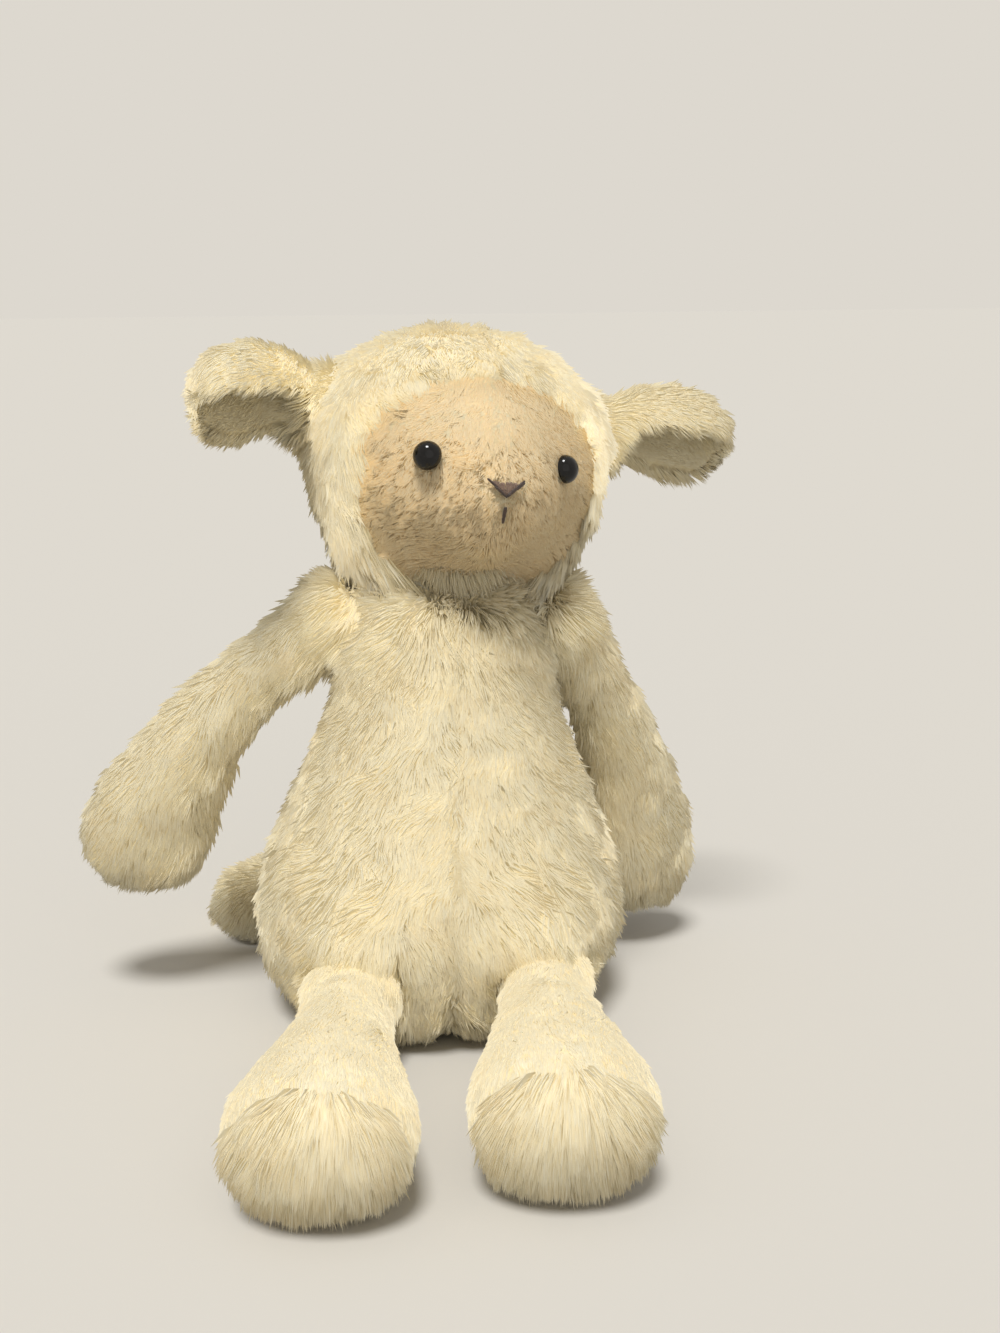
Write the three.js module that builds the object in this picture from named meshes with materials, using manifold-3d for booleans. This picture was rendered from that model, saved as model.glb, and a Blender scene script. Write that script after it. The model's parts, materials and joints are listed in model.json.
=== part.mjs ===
// A plush sheep that sits and leans back, sewn from plush panels over stuffing.
// Millimetres, +Z up. The sheep looks along -Y and its own left side is +X.
// The origin is the middle of its flat seat. The solids leave out the pile.

import * as THREE from "three";
import { mergeVertices } from "three/addons/utils/BufferGeometryUtils.js";
import Module from "manifold-3d";

const wasm = await Module();
wasm.setup();
const radians = THREE.MathUtils.degToRad;

// Cloth, seams and gaps
const PLUSH_THICKNESS = 3; // backing cloth with the dense root of its pile
const SEAM_GAP = 0.4; // between two panels of one cover
const FILL_GAP = 0.3; // between a cover and what lies in it
const JOINT_GAP = 0.3; // between a limb's round root and its seat
const OVERRUN = 6; // how far a cutter runs past what it cuts
const SURFACE_STEP = 0.02; // how closely a point on the face is searched

// Torso: a pear that leans back and a little to the sheep's left
const TORSO_HEIGHT = 133;
const TORSO_HALF_WIDTH = 61.5;
const TORSO_HALF_DEPTH = 50;
const TORSO_LEAN_BACK = radians(13.5);
const TORSO_LEAN_SIDE = radians(3.5);
const TORSO_SIDES = 20;
// Each row: height, half width and half depth
const TORSO_SHARES = [
  [0, 0.56, 0.62],
  [0.032, 0.74, 0.78],
  [0.084, 0.88, 0.9],
  [0.158, 0.97, 0.98],
  [0.25, 1, 1],
  [0.36, 0.95, 0.96],
  [0.47, 0.86, 0.88],
  [0.6, 0.74, 0.77],
  [0.74, 0.615, 0.65],
  [0.86, 0.53, 0.56],
  [0.94, 0.47, 0.5],
  [0.985, 0.4, 0.42],
];
const SEAT_FLAT_CUT = 0.5; // depth of the flat that the sheep sits on
const SEAT_PANEL_HALF_WIDTH = 28;
const SEAT_PANEL_HALF_DEPTH = 25;

// Bag of plastic pellets that weighs the seat down
const BAG_HALF_WIDTH = 34;
const BAG_HALF_DEPTH = 28;
const BAG_HALF_HEIGHT = 18;
const BAG_HEIGHT = 14; // of its middle
const BAG_CLOTH_THICKNESS = 1.2;
const BAG_FILL_HOLE_RADIUS = 5;
const BAG_SIDES = 16;

// Neck: a short round stuffed neck that the head turns and nods on
const NECK_RISE = 6; // of its middle, above the torso's top
const NECK_SIDE_SHIFT = 1; // to the sheep's left, as the head slumps
const NECK_RADIUS = 20;

// Head: a wool hood around a flatter face with a muzzle
const HEAD_RISE = 36.5; // from the middle of the neck to the middle of the head
const HEAD_LEAN_BACK = radians(13);
const HEAD_TILT_LEFT = radians(8.5);
const HEAD_TURN_LEFT = radians(12);
const HOOD_HALF_WIDTH = 49.5;
const HOOD_HALF_DEPTH = 42;
const HOOD_HALF_HEIGHT = 44.5;
const HEAD_ROUNDNESS = 2.2; // exponent of the head's sections, 2 for an ellipse
const HEAD_SIDES = 20;
const HEAD_RINGS = 10;
const FACE_RECESS = 3; // how far the face lies below the hood
const FACE_OPENING_HALF_WIDTH = 41;
const FACE_OPENING_HALF_HEIGHT = 33;
const FACE_OPENING_DROP = 8; // its middle below the middle of the head
const FACE_OPENING_SIDES = 24;
const MUZZLE_RISE = 12;
const MUZZLE_DROP = 23; // its tip below the middle of the head
const MUZZLE_HALF_WIDTH = 24;
const MUZZLE_HALF_HEIGHT = 27;

// Eyes: domed safety eyes, each held by a washer behind the face panel
const EYE_RADIUS = 4.6;
const EYE_DOME_HEIGHT = 4.2;
const EYE_SPREAD = 23; // from the middle of the face
const EYE_DROP = 3; // below the middle of the head
const SHANK_RADIUS = 1.5;
const SHANK_LENGTH = 7;
const WASHER_RADIUS = 5.5;
const WASHER_THICKNESS = 1.2;
const WASHER_SETBACK = 2.1; // from the panel's inside, which is hollow there
const EYE_SIDES = 12;
const EYE_DOME_STEPS = 4;

// Nose and mouth: satin stitches of thick thread that lie on the face
const THREAD_THICKNESS = 1.1;
const NOSE_WIDTH = 13.5;
const NOSE_HEIGHT = 5.5;
const NOSE_DROP = 12; // its middle below the middle of the head
const MOUTH_WIDTH = 1.6;
const MOUTH_HEIGHT = 6;
const MOUTH_DROP = 20;
// Corners of the nose, from its middle
const NOSE_OUTLINE_SHARES = [
  [-0.5, 0.5],
  [-0.2, 0.36],
  [0.2, 0.36],
  [0.5, 0.5],
  [0.06, -0.5],
  [-0.06, -0.5],
];
const MOUTH_OUTLINE_SHARES = [
  [-0.5, -0.5],
  [0.5, -0.5],
  [0.5, 0.5],
  [-0.5, 0.5],
];

// Ears: drooping gutters of an outer panel and a lining, open to the front and down
const EAR_LENGTH = 53;
const EAR_HALF_HEIGHT = 22;
const EAR_HALF_DEPTH = 13;
const EAR_ROOT_RADIUS = 8;
const EAR_SPREAD = 45.5; // from the middle of the head
const EAR_RISE = 17.5; // above the middle of the head
const EAR_SET_BACK = 4; // behind the middle of the head
const RIGHT_EAR_DROOP = radians(9); // below level, where it leaves the head
const LEFT_EAR_DROOP = radians(3);
const EAR_BEND = radians(26);
const RIGHT_EAR_SWEEP_BACK = radians(-28);
const LEFT_EAR_SWEEP_BACK = radians(-12);
const EAR_OPENING_ANGLE = radians(130);
const EAR_OPENING_DIRECTION = radians(212); // from straight up, over the back
const EAR_OPENING_START = 13; // from the root's middle
const EAR_SIDES = 10;
const EAR_LINING_THICKNESS = 3;
// Rays of the opening, as parts of its angle from its middle
const EAR_OPENING_TURN_SHARES = [-0.5, -0.25, 0, 0.25, 0.5];
// Each row: place along the length, half height and half depth
const EAR_SHARES = [
  [0.3, 0.7, 0.78],
  [0.5, 0.95, 0.97],
  [0.7, 1, 1],
];

// Arms: long and limp, ending in a broad flat paw
const ARM_LENGTH = 121;
const ARM_HALF_HEIGHT = 22.5;
const ARM_HALF_DEPTH = 15;
const ARM_ROOT_RADIUS = 13;
const ARM_BEND = radians(44);
const ARM_SIDES = 12;
const ARM_SHARES = [
  [0.14, 0.51, 0.78],
  [0.3, 0.58, 0.86],
  [0.5, 0.7, 0.93],
  [0.7, 0.93, 1],
  [0.84, 1, 1],
];
const SHOULDER_DROP = 9; // below the torso's top
const SHOULDER_SET_OUT = 6.5; // of the arm's root, outside the torso's side
const RIGHT_ARM_DROP = radians(32); // below level, where it leaves the shoulder
const LEFT_ARM_DROP = radians(53);
const RIGHT_ARM_SWEEP_BACK = radians(0);
const LEFT_ARM_SWEEP_BACK = radians(20);

// Legs: short, lying forward, swelling into big round feet
const LEG_LENGTH = 102;
const LEG_HALF_HEIGHT = 22.5;
const LEG_HALF_WIDTH = 28.5;
const LEG_ROOT_RADIUS = 16.5;
const LEG_SIDES = 14;
const LEG_SHARES = [
  [0.17, 0.66, 0.55],
  [0.32, 0.72, 0.62],
  [0.52, 0.84, 0.8],
  [0.7, 0.97, 0.96],
  [0.82, 1, 1],
];
const HIP_SPREAD = 30;
const RIGHT_HIP_FORWARD = 36; // in front of the middle of the seat, which is turned a little
const LEFT_HIP_FORWARD = 33.5;
const HIP_HEIGHT = 22;
const RIGHT_LEG_SPLAY = radians(9.3);
const LEFT_LEG_SPLAY = radians(-5);
const SOLE_THICKNESS_ALONG = 11; // how much of the foot's end the sole panel takes
const SOLE_TILT = radians(8);

// Tail: a stub of wool that curls round the sheep's right hip
const TAIL_LENGTH = 62;
const TAIL_HALF_HEIGHT = 12.5;
const TAIL_HALF_DEPTH = 13;
const TAIL_ROOT_RADIUS = 7;
const TAIL_BEND = radians(75);
const TAIL_HEADING = radians(150); // from the sheep's left, over its back
const TAIL_SINK = radians(5);
const TAIL_SIDE = 14; // of its root, to the sheep's right
const TAIL_BACK = 53;
const TAIL_HEIGHT = 18;
const TAIL_SIDES = 12;
const TAIL_SHARES = [
  [0.2, 0.72, 0.72],
  [0.4, 0.92, 0.92],
  [0.6, 1, 1],
  [0.78, 0.97, 0.97],
];

// Rings of a limb's round root and of its rounded end
const ROOT_RINGS = 4;
const END_RINGS = 2;
const ROOT_WAIST_ANGLE = radians(45); // from the limb's axis, where its root ends
const ROOT_OPENING_SHARE = 0.8; // of the hollow root's radius: cloth reaches no further in
const BALL_SIDES = 16;
const WAD_SIDES = 12;
const HIDDEN_SIDES_SHARE = 0.5; // of a form's sides, on what its cover hides

// Materials
const material = (color, roughness = 0.95, metalness = 0) =>
  new THREE.MeshStandardMaterial({ color, roughness, metalness });
const wool = () => material(0xf1e9d6);
const shortPile = () => material(0xdcc39c);
const fibreFill = () => material(0xf7f5f0);

// Solids and meshes

// The solid of a closed geometry.
function solidOf(geometry) {
  const bare = geometry.clone();
  bare.deleteAttribute("normal");
  bare.deleteAttribute("uv");
  const merged = mergeVertices(bare);
  return new wasm.Manifold(
    new wasm.Mesh({
      numProp: 3,
      vertProperties: new Float32Array(merged.attributes.position.array),
      triVerts: new Uint32Array(merged.index.array),
    }),
  );
}

// A named mesh of a solid.
function meshOf(name, solid, finish) {
  const { vertProperties, triVerts } = solid.getMesh();
  const geometry = new THREE.BufferGeometry();
  geometry.setAttribute("position", new THREE.BufferAttribute(vertProperties, 3));
  geometry.setIndex(new THREE.BufferAttribute(triVerts, 1));
  geometry.computeVertexNormals();
  const mesh = new THREE.Mesh(geometry, finish);
  mesh.name = name;
  return mesh;
}

// A closed form through rings of points, which run anticlockwise seen from the end.
function closedForm(rings, start, end) {
  const sides = rings[0].length;
  const points = [start, ...rings.flat(), end];
  const last = points.length - 1;
  const at = (ring, side) => 1 + ring * sides + (side % sides);
  const faces = [];
  for (let side = 0; side < sides; side++) {
    faces.push(0, at(0, side + 1), at(0, side));
    faces.push(last, at(rings.length - 1, side), at(rings.length - 1, side + 1));
    for (let ring = 0; ring + 1 < rings.length; ring++) {
      faces.push(at(ring, side), at(ring, side + 1), at(ring + 1, side + 1));
      faces.push(at(ring, side), at(ring + 1, side + 1), at(ring + 1, side));
    }
  }
  const geometry = new THREE.BufferGeometry().setFromPoints(points);
  geometry.setIndex(faces);
  return geometry;
}

// An oval ring of points around a centre, from one half axis towards the other.
function ovalRing(centre, firstHalf, secondHalf, sides) {
  return Array.from({ length: sides }, (_, side) => {
    const angle = (side / sides) * 2 * Math.PI;
    return centre
      .clone()
      .addScaledVector(firstHalf, Math.cos(angle))
      .addScaledVector(secondHalf, Math.sin(angle));
  });
}

const ball = (radius, centre = new THREE.Vector3(), sides = BALL_SIDES) =>
  solidOf(new THREE.SphereGeometry(radius, sides, sides / 2).translate(...centre));

// A round seat, whose flat facets all stay a joint gap outside the ball that turns in it.
const seatFor = (radius, centre) =>
  ball((radius + JOINT_GAP) / Math.cos(Math.PI / BALL_SIDES) ** 2, centre);

// The sides of a form: a form that is drawn in lies hidden in its cover.
const sidesOf = (sides, inset) => (inset > 0 ? sides * HIDDEN_SIDES_SHARE : sides);

// A straight round pin along an axis, between two distances from the origin.
function pin(radius, direction, from, to) {
  const geometry = new THREE.CylinderGeometry(radius, radius, to - from, EYE_SIDES);
  geometry.translate(0, (from + to) / 2, 0);
  const turn = new THREE.Quaternion().setFromUnitVectors(
    new THREE.Vector3(0, 1, 0),
    direction,
  );
  return geometry.applyQuaternion(turn);
}

// The half of a solid on the far side of a seam, half a seam gap away from it.
function besideSeam(solid, normal, offset) {
  return solid.trimByPlane(normal.toArray(), offset + SEAM_GAP / 2);
}

// Torso

// The middle of the torso at a height.
const torsoMiddle = (height) =>
  new THREE.Vector3(
    height * Math.tan(TORSO_LEAN_SIDE),
    height * Math.tan(TORSO_LEAN_BACK),
    height,
  );

// The directions across the torso and back through it at a share of its height. They are level
// at the seat and lean as the torso does at its top.
function torsoDirections(heightShare) {
  const lean = new THREE.Euler(
    -TORSO_LEAN_BACK * heightShare,
    TORSO_LEAN_SIDE * heightShare,
    0,
  );
  return {
    left: new THREE.Vector3(1, 0, 0).applyEuler(lean),
    back: new THREE.Vector3(0, 1, 0).applyEuler(lean),
  };
}

// Half width of the torso at a height, between the rows of its table.
function torsoHalfWidth(height) {
  const share = height / TORSO_HEIGHT;
  const nextRow = TORSO_SHARES.findIndex(([rowHeight]) => rowHeight > share);
  const [lowHeight, lowWidth] = TORSO_SHARES[nextRow - 1];
  const [highHeight, highWidth] = TORSO_SHARES[nextRow];
  const part = (share - lowHeight) / (highHeight - lowHeight);
  return TORSO_HALF_WIDTH * THREE.MathUtils.lerp(lowWidth, highWidth, part);
}

// The pear, drawn in by an inset all over.
function torsoForm(inset) {
  const rings = TORSO_SHARES.map(([height, width, depth]) => {
    const { left, back } = torsoDirections(height);
    return ovalRing(
      torsoMiddle(THREE.MathUtils.lerp(inset, TORSO_HEIGHT - inset, height)),
      left.multiplyScalar(TORSO_HALF_WIDTH * width - inset),
      back.multiplyScalar(TORSO_HALF_DEPTH * depth - inset),
      sidesOf(TORSO_SIDES, inset),
    );
  });
  const bottom = torsoMiddle(inset - SEAT_FLAT_CUT);
  return solidOf(closedForm(rings, bottom, torsoMiddle(TORSO_HEIGHT - inset)));
}

// An upright oval prism around the middle of the seat.
const ovalPrism = (halfWidth, halfDepth, height) =>
  solidOf(
    new THREE.CylinderGeometry(1, 1, 1, TORSO_SIDES)
      .rotateX(Math.PI / 2)
      .scale(halfWidth, halfDepth, 2 * height),
  );

// The egg of the pellet bag, drawn in by an inset.
function bagForm(inset) {
  const middle = torsoMiddle(BAG_HEIGHT);
  return solidOf(
    new THREE.SphereGeometry(1, BAG_SIDES, BAG_SIDES / 2)
      .scale(BAG_HALF_WIDTH - inset, BAG_HALF_DEPTH - inset, BAG_HALF_HEIGHT - inset)
      .translate(middle.x, middle.y, middle.z),
  );
}

// The solid above a level.
const above = (solid, level) => solid.trimByPlane([0, 0, 1], level);

// The two halves of a solid beside a seam in a plane through the origin.
const splitAtSeam = (solid, normal) => [
  besideSeam(solid, normal, 0),
  besideSeam(solid, normal.clone().negate(), 0),
];

// The torso's cover, its stuffing and the pellet bag, with a seat for each limb's root.
function buildTorso(limbRoots) {
  const seats = limbRoots.map(({ radius, place }) => seatFor(radius, place));
  const cutSeats = (solid) => seats.reduce((left, seat) => left.subtract(seat), solid);

  const cover = cutSeats(above(torsoForm(0).subtract(torsoForm(PLUSH_THICKNESS)), 0));
  const seatPanel = cover.intersect(
    ovalPrism(SEAT_PANEL_HALF_WIDTH, SEAT_PANEL_HALF_DEPTH, BAG_HEIGHT),
  );
  const sides = cover.subtract(
    ovalPrism(SEAT_PANEL_HALF_WIDTH + SEAM_GAP, SEAT_PANEL_HALF_DEPTH + SEAM_GAP, BAG_HEIGHT),
  );
  const centreSeam = new THREE.Vector3(Math.cos(TORSO_LEAN_SIDE), 0, -Math.sin(TORSO_LEAN_SIDE));
  const sideSeam = new THREE.Vector3(0, Math.cos(TORSO_LEAN_BACK), -Math.sin(TORSO_LEAN_BACK));
  const [left, right] = splitAtSeam(sides, centreSeam);
  const [backLeft, frontLeft] = splitAtSeam(left, sideSeam);
  const [backRight, frontRight] = splitAtSeam(right, sideSeam);

  const floor = PLUSH_THICKNESS + FILL_GAP;
  const bagHollow = above(bagForm(BAG_CLOTH_THICKNESS), floor + BAG_CLOTH_THICKNESS);
  const fillHole = pin(
    BAG_FILL_HOLE_RADIUS,
    new THREE.Vector3(0, 0, 1),
    BAG_HEIGHT,
    BAG_HEIGHT + BAG_HALF_HEIGHT + OVERRUN,
  );
  const bag = above(bagForm(0), floor).subtract(bagHollow).subtract(solidOf(fillHole));
  const pellets = above(
    bagForm(BAG_CLOTH_THICKNESS + FILL_GAP),
    floor + BAG_CLOTH_THICKNESS + FILL_GAP,
  );
  const stuffing = cutSeats(torsoForm(floor)).subtract(bagForm(-FILL_GAP));

  return [
    meshOf("front_left_panel", frontLeft, wool()),
    meshOf("front_right_panel", frontRight, wool()),
    meshOf("back_left_panel", backLeft, wool()),
    meshOf("back_right_panel", backRight, wool()),
    meshOf("seat_panel", seatPanel, wool()),
    meshOf("torso_stuffing", stuffing, fibreFill()),
    meshOf("pellet_bag", bag, material(0xcfc8b8)),
    meshOf("pellets", pellets, material(0xe4e0d6, 0.5)),
  ];
}

// Limbs, ears and tail
// Each lies along its own +X from its root's middle, and bends towards -Z.

// The middle of a limb at a distance along it, and the direction square to it in its bend.
function spineAt({ length, rootRadius, bend }, along) {
  if (along <= rootRadius || bend === 0) {
    return { middle: new THREE.Vector3(along, 0, 0), up: new THREE.Vector3(0, 0, 1) };
  }
  const turn = (bend * (along - rootRadius)) / (length - rootRadius);
  const bendRadius = (length - rootRadius) / bend;
  const middle = new THREE.Vector3(
    rootRadius + bendRadius * Math.sin(turn),
    0,
    -bendRadius * (1 - Math.cos(turn)),
  );
  return { middle, up: new THREE.Vector3(Math.sin(turn), 0, Math.cos(turn)) };
}

// A limb's section at a distance along it.
function limbRing(limb, along, halfHeight, halfDepth, sides) {
  const { middle, up } = spineAt(limb, along);
  const across = new THREE.Vector3(0, halfDepth, 0);
  return ovalRing(middle, across, up.multiplyScalar(halfHeight), sides);
}

// A limb with a round root, swelling sections and a rounded end, drawn in by an inset.
function limbForm(limb, inset) {
  const sides = sidesOf(limb.sides, inset);
  const root = limb.rootRadius - inset;
  const end = limb.length - inset;
  const rings = [];
  for (let ring = 1; ring <= ROOT_RINGS; ring++) {
    const polar = (ring / ROOT_RINGS) * (Math.PI - ROOT_WAIST_ANGLE);
    const radius = root * Math.sin(polar);
    rings.push(limbRing(limb, -root * Math.cos(polar), radius, radius, sides));
  }
  for (const [place, height, depth] of limb.shares) {
    const halfHeight = limb.halfHeight * height - inset;
    const halfDepth = limb.halfDepth * depth - inset;
    rings.push(limbRing(limb, limb.length * place, halfHeight, halfDepth, sides));
  }
  const [place, height, depth] = limb.shares.at(-1);
  for (let ring = 1; ring <= END_RINGS; ring++) {
    const angle = ((ring / (END_RINGS + 1)) * Math.PI) / 2;
    const along = THREE.MathUtils.lerp(limb.length * place, end, Math.sin(angle));
    const halfHeight = (limb.halfHeight * height - inset) * Math.cos(angle);
    const halfDepth = (limb.halfDepth * depth - inset) * Math.cos(angle);
    rings.push(limbRing(limb, along, halfHeight, halfDepth, sides));
  }
  return solidOf(closedForm(rings, new THREE.Vector3(-root, 0, 0), spineAt(limb, end).middle));
}

// The hollow cover of a limb, open at its root.
function limbCover(limb) {
  const shell = limbForm(limb, 0).subtract(limbForm(limb, PLUSH_THICKNESS));
  const opening = ROOT_OPENING_SHARE * (limb.rootRadius - PLUSH_THICKNESS);
  return shell.trimByPlane([1, 0, 0], -opening);
}

// The radius of the round wad of stuffing in a limb's root, inside the flat facets of its cover.
function rootStuffingRadius(limb) {
  const halfSide = Math.PI / sidesOf(limb.sides, PLUSH_THICKNESS);
  const halfRing = (Math.PI - ROOT_WAIST_ANGLE) / ROOT_RINGS / 2;
  const hollow = (limb.rootRadius - PLUSH_THICKNESS) * Math.cos(halfSide) * Math.cos(halfRing);
  return hollow - FILL_GAP;
}
const rootWad = (limb) => ball(rootStuffingRadius(limb), new THREE.Vector3(), WAD_SIDES);

// The stuffing of a limb, from its root's wad to its end.
function limbStuffing(limb) {
  const wadSeat = seatFor(rootStuffingRadius(limb));
  const filled = limbForm(limb, PLUSH_THICKNESS + FILL_GAP);
  return filled.trimByPlane([1, 0, 0], 0).subtract(wadSeat);
}

// A group at a root's middle, that heads somewhere, drops below level and may be twisted.
function limbGroup(place, heading, drop, twist = 0) {
  const group = new THREE.Group();
  group.position.copy(place);
  group.rotation.set(twist, drop, heading, "ZYX");
  return group;
}

const acrossLimb = new THREE.Vector3(0, 1, 0);

// side is 1 for the sheep's left and -1 for its right
function buildArm(arm, name, side) {
  const group = limbGroup(
    arm.root,
    side > 0 ? arm.sweepBack : Math.PI - arm.sweepBack,
    arm.drop,
  );
  const [leftHalf, rightHalf] = splitAtSeam(limbCover(arm), acrossLimb);
  const [front, back] = side > 0 ? [rightHalf, leftHalf] : [leftHalf, rightHalf];
  group.add(
    meshOf(`${name}_arm_front_panel`, front, wool()),
    meshOf(`${name}_arm_back_panel`, back, wool()),
    meshOf(`${name}_arm_stuffing`, limbStuffing(arm), fibreFill()),
    meshOf(`${name}_shoulder_stuffing`, rootWad(arm), fibreFill()),
  );
  return group;
}

function buildLeg(leg, name, side) {
  const group = limbGroup(leg.root, side * leg.splay - Math.PI / 2, 0);
  const cover = above(limbCover(leg), -HIP_HEIGHT);
  const soleNormal = new THREE.Vector3(Math.cos(SOLE_TILT), 0, Math.sin(SOLE_TILT));
  const soleOffset = (leg.length - SOLE_THICKNESS_ALONG) * Math.cos(SOLE_TILT);
  const sole = besideSeam(cover, soleNormal, soleOffset);
  const tube = besideSeam(cover, soleNormal.clone().negate(), -soleOffset);
  const [leftHalf, rightHalf] = splitAtSeam(tube, acrossLimb);
  const [outer, inner] = side > 0 ? [leftHalf, rightHalf] : [rightHalf, leftHalf];
  group.add(
    meshOf(`${name}_leg_outer_panel`, outer, wool()),
    meshOf(`${name}_leg_inner_panel`, inner, wool()),
    meshOf(`${name}_sole_panel`, sole, wool()),
    meshOf(`${name}_leg_stuffing`, limbStuffing(leg), fibreFill()),
    meshOf(`${name}_hip_stuffing`, rootWad(leg), fibreFill()),
  );
  return group;
}

// A prism along an ear, whose section is the sector that leaves the ear open.
function earOpening(ear, side) {
  const reach = ear.halfHeight + ear.halfDepth;
  const sector = new THREE.Shape();
  sector.moveTo(0, 0);
  for (const turn of EAR_OPENING_TURN_SHARES) {
    const angle = EAR_OPENING_DIRECTION + turn * EAR_OPENING_ANGLE;
    sector.lineTo(side * reach * Math.sin(angle), reach * Math.cos(angle));
  }
  const depth = ear.length - EAR_OPENING_START + OVERRUN;
  const prism = new THREE.ExtrudeGeometry(sector, { depth, bevelEnabled: false });
  // The section's x and y become the ear's y and z, and the prism runs along its x.
  const axes = new THREE.Matrix4().set(0, 0, 1, 0, 1, 0, 0, 0, 0, 1, 0, 0, 0, 0, 0, 1);
  return solidOf(prism.applyMatrix4(axes).translate(EAR_OPENING_START, 0, 0));
}

function buildEar(ear, name, side) {
  const group = limbGroup(
    ear.root,
    side > 0 ? ear.sweepBack : Math.PI - ear.sweepBack,
    ear.drop,
  );
  const opening = earOpening(ear, side);
  const liningInset = PLUSH_THICKNESS + FILL_GAP;
  const outer = limbForm(ear, 0).subtract(limbForm(ear, PLUSH_THICKNESS));
  const lining = limbForm(ear, liningInset).subtract(
    limbForm(ear, liningInset + EAR_LINING_THICKNESS),
  );
  group.add(
    meshOf(`${name}_ear_outer_panel`, outer.subtract(opening), wool()),
    meshOf(`${name}_ear_lining`, lining.subtract(opening), wool()),
  );
  return group;
}

function buildTail(tail) {
  // A quarter twist turns its bend from downwards to sideways.
  const group = limbGroup(tail.root, TAIL_HEADING, TAIL_SINK, Math.PI / 2);
  const filled = limbForm(tail, PLUSH_THICKNESS + FILL_GAP);
  group.add(
    meshOf("tail_cover", limbCover(tail), wool()),
    meshOf("tail_stuffing", filled, fibreFill()),
  );
  return group;
}

// Head
// Its own frame stands at the middle of the neck.

const NECK_PLACE = torsoMiddle(TORSO_HEIGHT + NECK_RISE).add(
  new THREE.Vector3(NECK_SIDE_SHIFT, 0, 0),
);
const HEAD_MIDDLE = new THREE.Vector3(0, 0, HEAD_RISE);

// Distance from the middle of a superellipsoid to its surface in a direction.
function superRadius(direction, halfWidth, halfDepth, halfHeight) {
  const sum =
    Math.abs(direction.x / halfWidth) ** HEAD_ROUNDNESS +
    Math.abs(direction.y / halfDepth) ** HEAD_ROUNDNESS +
    Math.abs(direction.z / halfHeight) ** HEAD_ROUNDNESS;
  return sum ** (-1 / HEAD_ROUNDNESS);
}

const hoodRadius = (direction) =>
  superRadius(direction, HOOD_HALF_WIDTH, HOOD_HALF_DEPTH, HOOD_HALF_HEIGHT);

// The face lies below the hood, and its muzzle stands out as a smooth hump.
function faceRadius(direction) {
  const flat = superRadius(
    direction,
    HOOD_HALF_WIDTH - FACE_RECESS,
    HOOD_HALF_DEPTH - FACE_RECESS,
    HOOD_HALF_HEIGHT - FACE_RECESS,
  );
  if (direction.y >= 0) return flat;
  const across = (-direction.x / direction.y) * HOOD_HALF_DEPTH;
  const up = (-direction.z / direction.y) * HOOD_HALF_DEPTH + MUZZLE_DROP;
  const away = (across / MUZZLE_HALF_WIDTH) ** 2 + (up / MUZZLE_HALF_HEIGHT) ** 2;
  return flat + MUZZLE_RISE * Math.exp(-away);
}

// A closed form around the middle of the head, drawn in by an inset.
function headForm(radiusIn, inset) {
  const pointIn = (direction) =>
    direction
      .clone()
      .multiplyScalar(radiusIn(direction) - inset)
      .add(HEAD_MIDDLE);
  const rings = [];
  for (let ring = 1; ring < HEAD_RINGS; ring++) {
    const polar = (ring / HEAD_RINGS) * Math.PI;
    const middle = new THREE.Vector3(0, -Math.cos(polar), 0);
    const up = new THREE.Vector3(0, 0, Math.sin(polar));
    const across = new THREE.Vector3(Math.sin(polar), 0, 0);
    rings.push(ovalRing(middle, up, across, sidesOf(HEAD_SIDES, inset)).map(pointIn));
  }
  const front = pointIn(new THREE.Vector3(0, -1, 0));
  return solidOf(closedForm(rings, front, pointIn(new THREE.Vector3(0, 1, 0))));
}

// A prism that runs forward from the middle of the head, with an outline seen from the front.
function forwardPrism(outline, drop) {
  const depth = HOOD_HALF_DEPTH + MUZZLE_RISE + OVERRUN;
  const prism = new THREE.ExtrudeGeometry(new THREE.Shape(outline), {
    depth,
    bevelEnabled: false,
  });
  return solidOf(prism.rotateX(Math.PI / 2).translate(0, 0, HEAD_RISE - drop));
}

// The face opening, a rounded oval, widened by a margin.
function faceOpening(margin) {
  const outline = Array.from({ length: FACE_OPENING_SIDES }, (_, corner) => {
    const angle = (corner / FACE_OPENING_SIDES) * 2 * Math.PI;
    const direction = new THREE.Vector3(Math.cos(angle), 0, Math.sin(angle));
    const radius = superRadius(
      direction,
      FACE_OPENING_HALF_WIDTH + margin,
      HOOD_HALF_DEPTH,
      FACE_OPENING_HALF_HEIGHT + margin,
    );
    return new THREE.Vector2(direction.x * radius, direction.z * radius);
  });
  return forwardPrism(outline, FACE_OPENING_DROP);
}

// How far a point lies outside the face, from the middle of the head.
const outsideFace = (point) => point.length() - faceRadius(point.clone().normalize());

// The point of the face at a place seen from the front, and the face's direction there.
function facePlace(across, up) {
  let inside = 0;
  let outside = HOOD_HALF_DEPTH + MUZZLE_RISE;
  while (outside - inside > SURFACE_STEP) {
    const depth = (inside + outside) / 2;
    if (outsideFace(new THREE.Vector3(across, -depth, up)) > 0) outside = depth;
    else inside = depth;
  }
  const point = new THREE.Vector3(across, -outside, up);
  const slope = (axis) =>
    outsideFace(point.clone().addScaledVector(axis, SURFACE_STEP)) - outsideFace(point);
  const normal = new THREE.Vector3(
    slope(new THREE.Vector3(1, 0, 0)),
    slope(new THREE.Vector3(0, 1, 0)),
    slope(new THREE.Vector3(0, 0, 1)),
  ).normalize();
  return { point: point.add(HEAD_MIDDLE), normal };
}

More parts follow.
